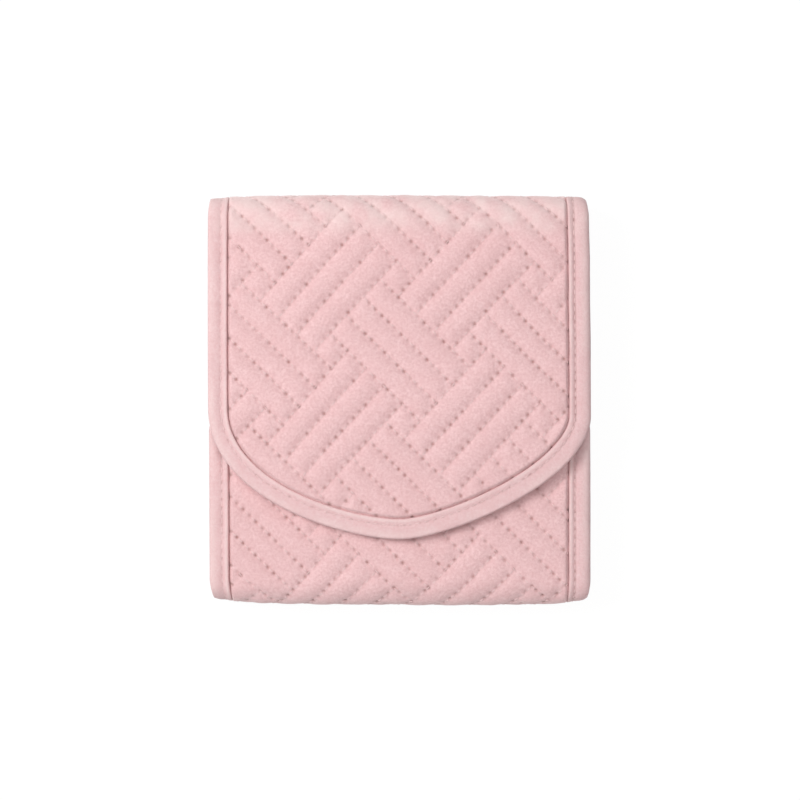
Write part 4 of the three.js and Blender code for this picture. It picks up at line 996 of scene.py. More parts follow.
def row_tree():
    """One small part repeated on the points of a mesh, turned to each point's up and along directions."""
    if "Repeated part" in bpy.data.node_groups:
        return bpy.data.node_groups["Repeated part"]
    tree, group, output = new_tree("Repeated part", [
        ("Part", "Object"), ("Scale", "Float"), ("Material", "Material")])
    points = tree.nodes.new("GeometryNodeMeshToPoints")
    part = tree.nodes.new("GeometryNodeObjectInfo")
    place = tree.nodes.new("GeometryNodeInstanceOnPoints")
    wire(tree, (
        (group, "Geometry", points, "Mesh"), (group, "Part", part, "Object"),
        (points, "Points", place, "Points"), (part, "Geometry", place, "Instance"),
        (group, "Scale", place, "Scale"),
    ))
    turned = turned_to(tree, named_vector(tree, "up"), named_vector(tree, "along"))
    tree.links.new(turned, place.inputs["Rotation"])
    finish_tree(tree, place, group, output)
    return tree


def grown(name, vertices, edges, vectors, tree, values):
    """Runs a tree on a skeleton of points and edges and keeps the result as a plain mesh."""
    mesh = bpy.data.meshes.new(name + "_skeleton")
    mesh.from_pydata([tuple(v) for v in vertices], [tuple(int(i) for i in e) for e in edges], [])
    for key, array in vectors.items():
        attribute = mesh.attributes.new(key, "FLOAT_VECTOR", "POINT")
        attribute.data.foreach_set("vector", np.asarray(array, np.float32).ravel())
    skeleton = linked(name + "_skeleton", mesh)
    modifier = skeleton.modifiers.new("Repeat", "NODES")
    modifier.node_group = tree
    for item in tree.interface.items_tree:
        if item.item_type == "SOCKET" and item.in_out == "INPUT" and item.name in values:
            modifier[item.identifier] = values[item.name]
    bpy.context.view_layer.update()
    evaluated = skeleton.evaluated_get(bpy.context.evaluated_depsgraph_get())
    result = bpy.data.meshes.new_from_object(evaluated)
    skeleton.modifiers.remove(modifier)
    bpy.data.objects.remove(skeleton)
    for key in vectors:
        if key in result.attributes:
            result.attributes.remove(result.attributes[key])
    result.name = name
    return linked(name, result)


def stitched(name, runs, pitch=None, radius=None):
    """Stitches along runs of (points, up directions)."""
    sizes = bpy.context.scene.organizer_sizes
    pitch = pitch or sizes.stitch_pitch
    vertices, ups, edges = [], [], []
    for points, up in runs:
        start = len(vertices)
        vertices += list(points)
        ups += list(up)
        edges += [(start + k, start + k + 1) for k in range(len(points) - 1)]
    return grown(name, vertices, edges, {"up": ups}, stitch_tree(), {
        "Pitch": pitch, "Stitch Length": pitch * STITCH_SHARE,
        "Thread Radius": radius or sizes.thread_radius, "Material": finishes()["thread"]})


def repeated(name, part, points, ups, alongs):
    """A gold part repeated on points, turned to the up and along direction of each."""
    return grown(name, points, [], {"up": ups, "along": alongs}, row_tree(),
                 {"Part": part, "Scale": 1.0, "Material": finishes()["gold"]})


def carried(piece, body, kind, *nodes):
    """A piece that rides on a body and the nodes it stands for."""
    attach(piece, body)
    if nodes:
        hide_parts(*nodes)
    return piece


# Quilted covers
class Field:
    """A raster of dimples over a stretch of the strip, read back by interpolation."""

    def __init__(self, low, high, cell=0.25 * MM):
        self.low, self.cell = np.array([-HALF_WIDTH, low]), cell
        self.values = np.zeros((int(2 * HALF_WIDTH / cell) + 2, int((high - low) / cell) + 2))

    def stamp(self, points, sigma, strengths):
        reach = int(3 * sigma / self.cell) + 1
        offsets = np.arange(-reach, reach + 1)
        for (x, s), strength in zip(points, strengths):
            at = (np.array([x, s]) - self.low) / self.cell
            rows, columns = [int(middle) + offsets for middle in at]
            rows = rows[(rows >= 0) & (rows < self.values.shape[0])]
            columns = columns[(columns >= 0) & (columns < self.values.shape[1])]
            gap = ((rows - at[0])[:, None] ** 2 + (columns - at[1])[None] ** 2) * self.cell ** 2
            block = np.ix_(rows, columns)
            self.values[block] = np.maximum(self.values[block], strength * np.exp(-gap / (2 * sigma ** 2)))

    def read(self, x, s):
        u, v = [np.clip((place - low) / self.cell, 0, size - 1.001)
                for place, low, size in zip((x, s), self.low, self.values.shape)]
        i, j = u.astype(int), v.astype(int)
        return between(lambda a, b: self.values[a, b], i, j, u - i, v - j)


def base_depth(stretch, x, s, n):
    """Depth of the quilting without needle holes: pillows, the dip beside the binding and soft wrinkles."""
    sizes = bpy.context.scene.organizer_sizes
    u, v = to_blocks(x, s, stretch.origin, stretch.station)
    side, end, rising = strip_distances(u, v)
    profile = pillow(side, sizes.pillow_reach) * pillow(end, sizes.pillow_end_reach)
    wall = fold_share(s)
    depth = GROOVE_DEPTH * (1 - profile) * (1 - WALL_FLATTENING * wall)
    soft = soft_noise(x, s, (9 * MM, 11, 0.7), (3.6 * MM, 12, 0.3))
    ripple = value_noise(u * 40 * MM, v * 160 * MM, 9 * MM, 13) * np.where(rising, 0.3, 1)
    ripple += value_noise(u * 160 * MM, v * 40 * MM, 9 * MM, 14) * np.where(rising, 1, 0.3)
    depth = depth + sizes.wrinkle * (soft + 0.5 * ripple * profile) + 0.08 * MM
    n = n / band_scale(x)
    rise = smooth_step((n - BAND_END) / (RISE_WIDTH - RISE_NARROWING * wall)) ** 0.7
    border = BORDER_DEPTH - BAND_PUSH * wall
    depth = border + (depth - border) * rise
    depth = depth + SLOT_DEPTH * slot_share(x, n) * (1 - wall)
    if stretch.name == "front":
        gap = np.hypot(x, s - front_station(SNAP_Y))
        seat = smooth_step((gap - SNAP_RADIUS - SNAP_SEAT_GAP) / SNAP_SEAT_SLOPE)
        depth = SNAP_SEAT_DEPTH + (depth - SNAP_SEAT_DEPTH) * seat
    return depth


def band_scale(x):
    """The band is folded a little wider towards the right."""
    return 1 + BAND_WIDENING * np.asarray(x) / HALF_WIDTH


def slot_share(x, n):
    """The narrow slot between band and quilting: open on the left, nearly closed towards the right; it sets the
    slot's depth and its painted shade.
    """
    open_share = 0.45 + 0.1 * x / HALF_WIDTH + 0.6 * smooth_step((-x - 42 * MM) / (16 * MM))
    return open_share * bell(n, SLOT_INSET, SLOT_WIDTH)


def clipped_runs(stretch, lines, margin):
    """The parts of lines in (x, s) that lie at least margin inside a stretch."""
    runs = []
    for points in lines:
        pace = np.linalg.norm(points[1] - points[0])
        inside = stretch.inset(points[:, 0], points[:, 1]) > margin
        inside &= (points[:, 1] > stretch.low) & (points[:, 1] < stretch.high)
        if stretch.name == "front":
            inside &= np.hypot(points[:, 0], points[:, 1] - front_station(SNAP_Y)) > SNAP_RADIUS + SNAP_SEAM_GAP
        starts = np.nonzero(inside & ~np.concatenate([[False], inside[:-1]]))[0]
        stops = np.nonzero(inside & ~np.concatenate([inside[1:], [False]]))[0]
        runs += [points[i:j + 1] for i, j in zip(starts, stops) if (j - i) * pace > SHORTEST_SEAM]
    return runs


def draped(points, depth):
    """Folded points and outward directions for points in (x, s) at the given depth."""
    outer = fold(points[:, 0], points[:, 1], depth - 0.5 * MM)
    inner = fold(points[:, 0], points[:, 1], depth)
    up = outer - inner
    return inner, up / np.linalg.norm(up, axis=1)[:, None]


def needle_points(points, folded, pitch):
    """Where the needle goes through along a run: the ends of its evenly spaced stitches."""
    lengths = lengths_along(folded)
    return spread(points, lengths, max(1, int(lengths[-1] / pitch)))


def spaced(points, gap):
    """The points, without those that lie nearer than the gap to one before them."""
    apart = np.ones(len(points), bool)
    for number, point in enumerate(points):
        if apart[number]:
            apart[number + 1:] &= np.sum((points[number + 1:] - point) ** 2, axis=1) > gap ** 2
    return points[apart]


def quilted_cover(stretch):
    """The padded velvet of one stretch with its needle holes, and the stitches in them."""
    sizes = bpy.context.scene.organizer_sizes
    lines = seams(stretch.low - 5 * MM, stretch.high + 5 * MM, stretch.origin, stretch.station)
    runs = clipped_runs(stretch, lines, SEAM_MARGIN)
    needles, threads = [], []
    for run in runs:
        depth = base_depth(stretch, run[:, 0], run[:, 1], stretch.inset(run[:, 0], run[:, 1]))
        folded, up = draped(run, depth + THREAD_SINK)
        needles.append(needle_points(run, folded, sizes.stitch_pitch))
        kept = np.unique(np.append(np.arange(0, len(run), 3), len(run) - 1))
        threads.append((folded[kept], up[kept]))
    needles = spaced(np.vstack(needles), NEEDLE_GAP)
    pull = np.random.default_rng(len(needles)).uniform(LEAST_PULL, 1, len(needles))
    holes, hole_shade = Field(stretch.low, stretch.high), Field(stretch.low, stretch.high)
    puckers = Field(stretch.low, stretch.high, 0.4 * MM)
    holes.stamp(needles, HOLE_SPREAD, pull)
    puckers.stamp(needles, PUCKER_SPREAD, 0.4 + 0.6 * pull)
    # Painted shade at each needle hole
    hole_shade.stamp(needles, HOLE_SHADE_SPREAD, pull ** 1.3)

    def face(x, s, n):
        depth = base_depth(stretch, x, s, n)
        return depth + sizes.needle_depth * holes.read(x, s) + sizes.pucker_depth * puckers.read(x, s)

    def shade(x, s, n):
        # Painted shade: in the needle holes, fainter under the top fold's painted highlight, and in the slot
        # beside the band, most on the left
        uneven = 0.72 + 0.28 * value_noise(x, s, 3 * MM, 15)
        slot = SLOT_SHADE * slot_share(x, n / band_scale(x)) ** 1.6 * uneven
        slot *= 1 - WALL_FLATTENING * fold_share(s)
        return np.maximum(hole_shade.read(x, s) * (1 - SHEEN_HOLE_FADE * fold_sheen(x, s)), slot)

    cover = closed_sheet("cover_" + stretch.name, stretch, SHEET_INSET, face, QUILT_UNDERSIDE,
                         sizes.quilt_step, finishes()["velvet"], shade)
    return cover, stitched("cover_stitches_" + stretch.name, threads)


COVERED = {
    "back_upper": ["back_quilt"],
    "flap": ["flap_quilt", "top_spine_quilt"],
    "back_lower": ["bottom_spine_quilt"],
    "front": ["front_quilt"],
}


class ORGANIZER_OT_covers(bpy.types.Operator):
    """Makes the quilted velvet covers and their stitches, bending over the folds"""

    bl_idname = "organizer.covers"
    bl_label = "Quilted covers"

    def execute(self, context):
        for name, stretch in STRETCHES.items():
            cover, stitches = quilted_cover(stretch)
            for piece in (cover, stitches):
                stretch.attach(piece)
            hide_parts(*COVERED[name])
        return {"FINISHED"}


# Bindings: a folded band of velvet round every edge of the strip
def binding_section():
    """The band's section as (inset, depth): outer face, round the edge, inner face and back inside."""
    row = THREAD_INSET / MM
    outer = [(7.5, 2.28), (7.6, 1.95), (7.5, 1.5), (7.25, 1.18), (6.95, 1.04), (6.6, 1.05)]
    groove = [(row + 1.05, 1.15), (row + 0.7, 1.33), (row + 0.35, 1.55), (row + 0.1, 1.7),
              (row - 0.12, 1.7), (row - 0.4, 1.58), (row - 0.8, 1.43), (row - 1.35, 1.27)]
    body = [(3.0, 1.16), (1.8, 1.12), (0.95, 1.2), (0.45, 1.45), (0.16, 1.95), (0.03, 2.6)]
    edge = [(0.0, 3.5), (0.0, 4.4), (0.02, 5.1), (0.2, 5.46), (0.7, 5.6)]
    inner = [(2.0, 5.56), (3.6, 5.36), (row - 0.5, 5.26), (row, 5.04), (row + 0.5, 5.24),
             (6.7, 5.34), (7.2, 5.26), (7.5, 5.0), (7.55, 4.7), (7.4, 4.43)]
    inside = [(6.4, 4.42), (4.2, 4.42), (1.8, 4.36), (1.3, 3.9), (1.2, 3.3), (1.6, 2.6), (2.6, 2.34),
              (5.0, 2.34)]
    return np.array(outer + groove + body + edge + inner + inside) * MM


def ripples(seed):
    """Slight unevenness of the folded band along its length."""

    def change(lengths, insets, depths):
        shown = np.where((depths > 2.3 * MM) & (depths < 4.45 * MM) & (insets > 1.1 * MM), 0.0, 1.0)
        inward = np.where(depths < 3.4 * MM, 1.0, -1.0)
        wave = value_noise(lengths, insets * 2, 5 * MM, seed) * 0.12
        wave += value_noise(lengths, insets * 3, 2 * MM, seed + 1) * 0.05
        return (wave + 0.06) * MM * shown * inward

    return change


def groove_shade(across, pitch):
    """Painted shade in the band's stitched groove, most on its right side, away from the light, and where the
    needle went in.
    """
    base = 0.12 + 0.2 * smooth_step((across / HALF_WIDTH - 0.6) / 0.3)[:, None]

    def shade(lengths, insets, depths):
        groove = bell(insets, THREAD_INSET, 0.38 * MM) * (depths < OUTER_HALF)
        to_hole = np.abs((lengths / pitch) % 1 - 0.5) * pitch
        strength = 0.5 + 0.5 * value_noise(lengths, 0 * lengths, 2.5 * MM, 71)
        return groove * (base + 0.5 * strength * bell(to_hole, 0, 0.5 * MM))

    return shade


def bound_edge(name, edge, centre, seed):
    """The band along an edge and its two rows of stitches, outside and inside."""
    inward = inward_normals(edge, centre)
    groove_shading = groove_shade(edge[:, 0], bpy.context.scene.organizer_sizes.stitch_pitch)
    band = sweep(name, edge, inward, binding_section(), ripples(seed), finishes()["binding"], groove_shading)
    row = edge + inward * THREAD_INSET * (1 + THREAD_WIDENING * edge[:, 0] / HALF_WIDTH)[:, None]
    outer, up = draped(row, band_on_wall(THREAD_DEPTH, THREAD_DEPTH, row[:, 1]))
    inner, down = draped(row, np.full(len(edge), INNER_THREAD_DEPTH))
    return band, stitched(name + "_stitches", [(outer[::2], up[::2]), (inner[::2], -down[::2])])


def side_edge(side, low, high):
    return resample(np.array([[side * HALF_WIDTH, low], [side * HALF_WIDTH, high]]), EDGE_STEP)


class ORGANIZER_OT_bindings(bpy.types.Operator):
    """Binds the edges of the case with folded velvet and stitches the band down"""

    bl_idname = "organizer.bindings"
    bl_label = "Bindings"

    def execute(self, context):
        rows = [
            ("flap", "flap_bound_edge", flap_edge(), FLAP_CENTRE, 21,
             ["flap_binding", "top_spine_binding_left", "top_spine_binding_right"]),
            ("front", "front_bound_edge", front_edge(), FRONT_CENTRE, 31, ["front_binding"]),
        ]
        for side, word in ((-1, "left"), (1, "right")):
            rows.append(("back_upper", "back_upper_edge_" + word, side_edge(side, 0, TOP_MIDDLE),
                         (0, 40 * MM), 41 + side, ["back_binding_" + word]))
            rows.append(("back_lower", "back_lower_edge_" + word, side_edge(side, BOTTOM_MIDDLE, 0),
                         (0, -40 * MM), 51 + side, ["bottom_spine_binding_" + word]))
        for key, name, edge, centre, seed, nodes in rows:
            band, stitches = bound_edge(name, edge, centre, seed)
            for piece in (band, stitches):
                STRETCHES[key].attach(piece)
            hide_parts(*nodes)
        return {"FINISHED"}


# Linings and the flat patches sewn on them
class ORGANIZER_OT_linings(bpy.types.Operator):
    """Makes the inner velvet of every panel, bending over the folds"""

    bl_idname = "organizer.linings"
    bl_label = "Linings"

    def execute(self, context):
        nodes = {
            "back_upper": ["back_lining"], "flap": ["flap_lining", "top_spine_lining"],
            "back_lower": ["bottom_spine_lining"], "front": ["front_lining"],
        }
        for name, stretch in STRETCHES.items():
            def face(x, s, n):
                soft = soft_noise(x, s, (14 * MM, 61, 0.6), (4 * MM, 62, 0.4))
                return LINING_FACE - 0.06 * MM - 0.05 * MM * soft - crease(x, s)

            piece = closed_sheet("lining_" + name, stretch, SHEET_INSET, face, QUILT_UNDERSIDE + 0.02 * MM,
                                 1.3 * MM, finishes()["lining"])
            stretch.attach(piece)
            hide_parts(*nodes[name])
        return {"FINISHED"}


def patch(name, stretch, window, min_inset, thickness, material, relief=None, step=0.9 * MM):
    """A flat piece of cloth with rounded edges on the lining; its window is two stations and half a width."""
    low, high, half = window

    def face(x, s, n):
        rim = np.minimum.reduce([half - np.abs(x), s - low, high - s, n - min_inset])
        rise = rolled(rim + 0.02 * MM, PATCH_ROUNDING)
        soft = soft_noise(x, s, (11 * MM, 71, 0.6), (3 * MM, 72, 0.4))
        extra = 0 if relief is None else relief(x, s)
        return LINING_FACE + thickness * (0.25 + 0.75 * rise) + 0.04 * MM * soft * rise + extra * rise

    return closed_sheet(name, stretch, min_inset, face, LINING_FACE + 0.01 * MM, step, material,
                        window=window)


def line_run(start, end, depth):
    """A stitch run on the inner face between two points in (x, s)."""
    points = resample(np.array([start, end]), 1 * MM)
    folded, up = draped(points, np.full(len(points), depth))
    return folded, -up


def box_of(node):
    low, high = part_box(node)
    return Vector(low), Vector(high)


def fitting_seat(node, top=False):
    """Where a turned fitting sits and its radius in millimetres."""
    low, high = box_of(node)
    centre = ((low.x + high.x) / 2, (low.y + high.y) / 2, high.z if top else low.z)
    return centre, (high.y - low.y) / 2 / MM


def closed_outline(low, high, inset):
    left, right, bottom, top = low.x + inset, high.x - inset, low.y + inset, high.y - inset
    return [(left, bottom), (right, bottom), (right, top), (left, top), (left, bottom)]


# Copies of CAD nodes with rounded edges, for small cloth parts and metal fittings
def softened(name, node, width, material, swell=0.0, seed=0, detail=None):
    """A copy of a CAD node with its facets merged and its edges rounded, slightly uneven if it is cloth."""
    mesh = bpy.data.objects[node].data.copy()
    mesh.name = name
    mesh.materials.clear()
    mesh.materials.append(material)
    bm = bmesh.new()
    bm.from_mesh(mesh)
    bmesh.ops.remove_doubles(bm, verts=bm.verts, dist=1e-6)
    bmesh.ops.dissolve_limit(bm, angle_limit=math.radians(1.5), verts=bm.verts, edges=bm.edges)
    bm.to_mesh(mesh)
    bm.free()
    piece = linked(name, mesh)
    bevel = piece.modifiers.new("Rounding", "BEVEL")
    bevel.width, bevel.segments, bevel.limit_method, bevel.angle_limit = width, 3, "ANGLE", math.radians(35)
    apply_modifiers(piece)
    if detail is not None:
        bm = bmesh.new()
        bm.from_mesh(piece.data)
        bmesh.ops.triangulate(bm, faces=bm.faces)
        for _ in range(6):
            long_edges = [e for e in bm.edges if e.calc_length() > detail]
            if not long_edges:
                break
            bmesh.ops.subdivide_edges(bm, edges=long_edges, cuts=1)
            bmesh.ops.triangulate(bm, faces=[f for f in bm.faces if len(f.verts) > 3])
        bm.normal_update()
        for vert in bm.verts:
            wave = float(value_noise(vert.co.x * 1.3 + vert.co.z, vert.co.y - vert.co.z, 4 * MM, 81 + seed))
            vert.co += vert.normal * swell * (0.4 + 0.6 * wave)
        bm.to_mesh(piece.data)
        bm.free()
    shaded(piece.data, SHARP_COPY)
    return piece


def apply_modifiers(piece):
    bpy.context.view_layer.update()
    evaluated = piece.evaluated_get(bpy.context.evaluated_depsgraph_get())
    mesh = bpy.data.meshes.new_from_object(evaluated)
    piece.modifiers.clear()
    piece.data = mesh


def fitted(name, node, body, kind, look, **options):
    """A softened copy that stands for its node and rides on its body."""
    return carried(softened(name, node, material=finishes()[look], **options), body, kind, node)


def ring_of_points(bm, radius, centre, z, count):
    angles = (2 * math.pi * k / count for k in range(count))
    return [bm.verts.new((centre[0] + radius * MM * math.cos(a), centre[1] + radius * MM * math.sin(a), z))
            for a in angles]


def lathe(name, profile, centre, segments=48, flip=1):
    """Turns (radius, height) points in millimetres round the vertical through centre, in gold."""
    bm = bmesh.new()
    rings = []
    for radius, height in profile:
        z = centre[2] + flip * height * MM
        if radius <= 0:
            rings.append([bm.verts.new((centre[0], centre[1], z))] * segments)
        else:
            rings.append(ring_of_points(bm, radius, centre, z, segments))
    for low, high in zip(rings, rings[1:]):
        for k in range(segments):
            corners = []
            for vert in (low[k], low[(k + 1) % segments], high[(k + 1) % segments], high[k]):
                if vert not in corners:
                    corners.append(vert)
            if len(corners) > 2:
                bm.faces.new(corners)
    bmesh.ops.recalc_face_normals(bm, faces=bm.faces)
    piece = from_bmesh(name, bm, finishes()["gold"])
    shaded(piece.data, SHARP_TURNED)
    return piece


def drawn_across(name, xs, section, material, wave, flat_below=-math.inf, sharp=SHARP_CLOTH):
    """A closed strip along X with the given (y, z) section, slightly uneven above its flat underside."""
    vertices = [(x, y, z + lift if z > flat_below else z) for x, lift in zip(xs, wave) for y, z in section]
    return new_object(name, vertices, drawn_faces(len(xs), len(section)), material, sharp=sharp)


class ORGANIZER_OT_zip_pocket(bpy.types.Operator):
    """Makes the zip pocket of the back panel: panel, top strip, tapes, teeth, slider and pull"""

    bl_idname = "organizer.zip_pocket"
    bl_label = "Zip pocket"

    def execute(self, context):
        sizes, looks = context.scene.organizer_sizes, finishes()
        back = STRETCHES["back_lower"]
        runs = []
        for node, side in (("zip_pocket_panel", -1), ("zip_top_strip", 1)):
            low, high = box_of(node)
            piece = patch(node + "_cloth", back, (low.y, high.y, high.x), 0, high.z - low.z, looks["pad"])
            carried(piece, "back", "lining", node)
            s = (high.y if side < 0 else low.y) + side * 1.1 * MM
            runs.append(line_run((low.x + 2 * MM, s), (high.x - 2 * MM, s), POCKET_DEPTH))
        low, high = box_of("zip_pocket_panel")
        inset = 1.6 * MM
        (left, bottom), (right, _), (_, top), *_ = closed_outline(low, high, inset)
        runs.append(line_run((left, bottom), (right, bottom), POCKET_DEPTH))
        runs += [line_run((side * right, bottom), (side * right, top), POCKET_DEPTH) for side in (-1, 1)]
        carried(stitched("zip_pocket_stitches", runs, **POCKET_STITCH), "back", "lining")
        tooth = tooth_part(looks["gold"])
        for node, side in (("zip_row_lower", -1), ("zip_row_upper", 1)):
            low, high = box_of(node)
            carried(zip_tape(node + "_tape", low, high, side, looks["tape"]), "back", "zip_tape", node)
            count = int((high.x - low.x - 2 * MM) / sizes.tooth_pitch)
            xs = low.x + 1 * MM + sizes.tooth_pitch * (np.arange(count) + (0.75 if side > 0 else 0.25))
            points = [(x, side * 0.85 * MM, low.z + 0.75 * MM) for x in xs]
            teeth = repeated(node + "_teeth", tooth, points, [(0, 0, 1.0)] * count, [(0, -side, 0.0)] * count)
            carried(teeth, "back", "gold")
        bpy.data.objects.remove(tooth)
        fitted("zip_slider_body", "zip_slider", "zip_slider", "gold", "gold", width=sizes.metal_bevel)
        fitted("zip_pull_drop", "zip_pull", "zip_pull", "gold", "gold", width=0.18 * MM)
        return {"FINISHED"}


def tooth_part(material):
    """One zip tooth: a rounded block with a head, pointing along X."""
    bm = bmesh.new()
    bmesh.ops.create_cube(bm, size=1)
    for vert in bm.verts:
        wide, high = (1.15, 1.3) if vert.co.x > 0 else (0.8, 1.1)
        vert.co = Vector((vert.co.x * 2.3, vert.co.y * wide, vert.co.z * high)) * MM
    bmesh.ops.bevel(bm, geom=bm.edges, offset=0.22 * MM, segments=2, affect="EDGES", profile=0.6)
    tooth = from_bmesh("zip_tooth", bm, material)
    tooth.hide_render = True
    return tooth


def zip_tape(name, low, high, side, material):
    """The woven tape of one row, thicker where it holds the teeth."""
    section = [(5.0, 0.0), (5.0, 0.34), (4.8, 0.5), (3.2, 0.55), (1.9, 0.5), (1.6, 0.95), (1.1, 1.1),
               (0.75, 0.9), (0.7, 0.4), (0.8, 0.0)]
    section = [(side * reach * MM, low.z + height * MM) for reach, height in section]
    xs = np.arange(low.x, high.x + 0.5 * MM, 1 * MM)
    wave = value_noise(xs, 0 * xs, 6 * MM, 91) * 0.05 * MM
    return drawn_across(name, xs, section, material, wave, low.z + 0.2 * MM, SHARP_TAPE)


def stud_pair(name, stud_node, socket_node, socket_body):
    """The turned press stud on the panel and its domed cap on the strap."""
    centre, radius = fitting_seat(stud_node)
    stud = lathe(name + "_stud", [
        (0, 0), (radius - 0.1, 0), (radius, 0.12), (radius, 0.28), (radius - 0.25, 0.4), (3.1, 0.34),
        (2.3, 0.4), (1.75, 0.5), (1.5, 0.7), (1.62, 0.92), (1.55, 1.08), (1.2, 1.18), (0, 1.2)], centre)
    carried(stud, "back", "gold", stud_node)
    centre, radius = fitting_seat(socket_node)
    cap = lathe(name + "_cap", [
        (0, 0.85), (1.8, 0.85), (1.95, 0.7), (1.95, 0.12), (2.15, 0), (radius - 0.2, 0), (radius, 0.15),
        (radius - 0.1, 0.4), (2.7, 0.45), (2.65, 1.28), (radius - 0.1, 1.26), (radius, 1.36),
        (radius - 0.05, 1.56), (radius - 0.4, 1.68), (3.2, 1.62), (2.9, 1.74), (2.2, 1.93), (1.2, 2.03),
        (0, 2.05)], centre)
    carried(cap, socket_body, "gold", socket_node)


def strap_outline(low, high, inset, tip):
    """Points round a strap with one round end, for its row of stitches; tip is x+ or y-."""
    half = ((high.x - low.x) if tip == "y-" else (high.y - low.y)) / 2 - inset
    angles = np.linspace(0, math.pi, 14)
    if tip == "y-":
        cx, cy = (low.x + high.x) / 2, low.y + half + inset
        arc = [(cx + half * math.cos(a), cy - half * math.sin(a)) for a in angles]
        return [(cx + half, high.y - inset)] + arc + [(cx - half, high.y - inset)]
    cx, cy = high.x - half - inset, (low.y + high.y) / 2
    arc = [(cx + half * math.sin(a), cy + half * math.cos(a)) for a in angles]
    return [(low.x + inset, cy + half)] + arc + [(low.x + inset, cy - half)]


def flat_run(points, z, up=1.0):
    """A stitch run over points in (x, y) at one height."""
    points = resample(np.array(points), 0.9 * MM)
    run = np.column_stack([points, np.full(len(points), z)])
    return run, np.tile([0, 0, up], (len(run), 1))


class ORGANIZER_OT_ring_bar(bpy.types.Operator):
    """Makes the ring bar: padded roll, strap, its sewn end and its press stud"""

    bl_idname = "organizer.ring_bar"
    bl_label = "Ring bar"

    def execute(self, context):
        low, high = box_of("ring_bar_roll")
        roll = padded_roll("ring_roll", low, high, finishes()["pad"])
        carried(roll, "ring_bar", "lining", "ring_bar_roll")
        fitted("ring_strap", "ring_bar_strap", "ring_bar", "lining", "pad", width=0.22 * MM, swell=0.04 * MM,
               detail=1.6 * MM)
        fitted("ring_anchor", "ring_bar_anchor", "back", "lining", "pad", width=0.3 * MM, swell=0.05 * MM,
               detail=1.4 * MM)
        low, high = box_of("ring_bar_strap")
        row = flat_run(strap_outline(low, high, 1.1 * MM, "x+"), high.z + STITCH_LIFT)
        carried(stitched("ring_strap_stitches", [row], **STRAP_STITCH), "ring_bar", "lining")
        low, high = box_of("ring_bar_anchor")
        corners = closed_outline(low, high, 1.3 * MM)
        rows = [flat_run(line, high.z + STITCH_LIFT) for line in (corners, corners[0:3:2], corners[1:4:2])]
        carried(stitched("ring_anchor_stitches", rows, **ANCHOR_STITCH), "back", "lining")
        stud_pair("ring_bar", "ring_bar_stud", "ring_bar_socket", "ring_bar")
        return {"FINISHED"}


def padded_roll(name, low, high, material):
    """A stuffed velvet roll along X with gathered ends, flattened where it lies on the strap."""
    radius = (high.y - low.y) / 2
    centre_y, centre_z = (low.y + high.y) / 2, high.z - radius
    length = high.x - low.x
    around = 96
    angles = np.linspace(0, 2 * math.pi, around, endpoint=False)
    left = [(0.0, 0.0, 0.0)]
    for t in (k / 14 for k in range(1, 14)):
        bulge = 0.9 * MM * (1 - t) ** 2 - 0.5 * MM * math.sin(math.pi * t) + 1.2 * MM * t
        left.append((bulge, t * 0.93, 1 - t * 0.3))
    left += [(1.45 * MM, 0.965, 0.6), (2.1 * MM, 0.985, 0.35)]
    body = [(x, 1.0, 0.0) for x in np.linspace(3 * MM, length - 3 * MM, 84)]
    rows = left + body + [(length - x, r, g) for x, r, g in reversed(left)]
    vertices = []
    for x, share, gather in rows:
        if share == 0:
            vertices.append((low.x + x, centre_y, centre_z))
            continue
        pleat = 1 + gather * 0.07 * np.cos(22 * angles) * share
        soft = 1 + 0.012 * value_noise(np.full(around, x), angles * radius, 9 * MM, 95)
        seam = 1 - 0.06 * bell(angles, math.pi * 1.5, 0.09)
        r = radius * share * pleat * np.where(share > 0.95, soft * seam, 1)
        push = gather * 0.25 * MM * np.cos(22 * angles) * (1 if x < length / 2 else -1)
        y = centre_y + r * np.cos(angles)
        z = np.maximum(centre_z + r * np.sin(angles), low.z - ROLL_SINK)
        vertices += [(low.x + x + p, a, b) for p, a, b in zip(push, y, z)]
    faces, count = [], len(rows)
    start = lambda k: 0 if k == 0 else 1 + (k - 1) * around
    for j in range(around):
        faces.append((0, start(1) + (j + 1) % around, start(1) + j))
        last = start(count - 2)
        faces.append((start(count - 1), last + j, last + (j + 1) % around))
    for k in range(1, count - 2):
        a, b = start(k), start(k + 1)
        faces += [(a + j, a + (j + 1) % around, b + (j + 1) % around, b + j) for j in range(around)]
    return new_object(name, vertices, faces, material)


class ORGANIZER_OT_necklace_tabs(bpy.types.Operator):
    """Makes the necklace tabs, the strip that holds them and their press studs"""

    bl_idname = "organizer.necklace_tabs"
    bl_label = "Necklace tabs"

    def execute(self, context):
        fitted("tab_strip", "necklace_tab_strip", "back", "lining", "pad", width=0.3 * MM, swell=0.05 * MM,
               detail=1.6 * MM)
        low, high = box_of("necklace_tab_strip")
        rows = [flat_run([(low.x + 1.2 * MM, y), (high.x - 1.2 * MM, y)], high.z + STITCH_LIFT)
                for y in (low.y + 1.1 * MM, high.y - 1.1 * MM)]
        carried(stitched("tab_strip_stitches", rows, **TAB_STRIP_STITCH), "back", "lining")
        for number in range(1, 5):
            body = f"necklace_tab_{number}"
            fitted(f"tab_{number}", body, body, "lining", "pad", width=0.22 * MM, swell=0.04 * MM,
                   seed=number, detail=1.3 * MM)
            low, high = box_of(body)
            row = flat_run(strap_outline(low, high, 1.0 * MM, "y-"), high.z + STITCH_LIFT)
            carried(stitched(f"tab_stitches_{number}", [row], **TAB_STITCH), body, "lining")
            stud_pair(f"necklace_{number}", f"necklace_stud_{number}", f"necklace_socket_{number}", body)
        return {"FINISHED"}


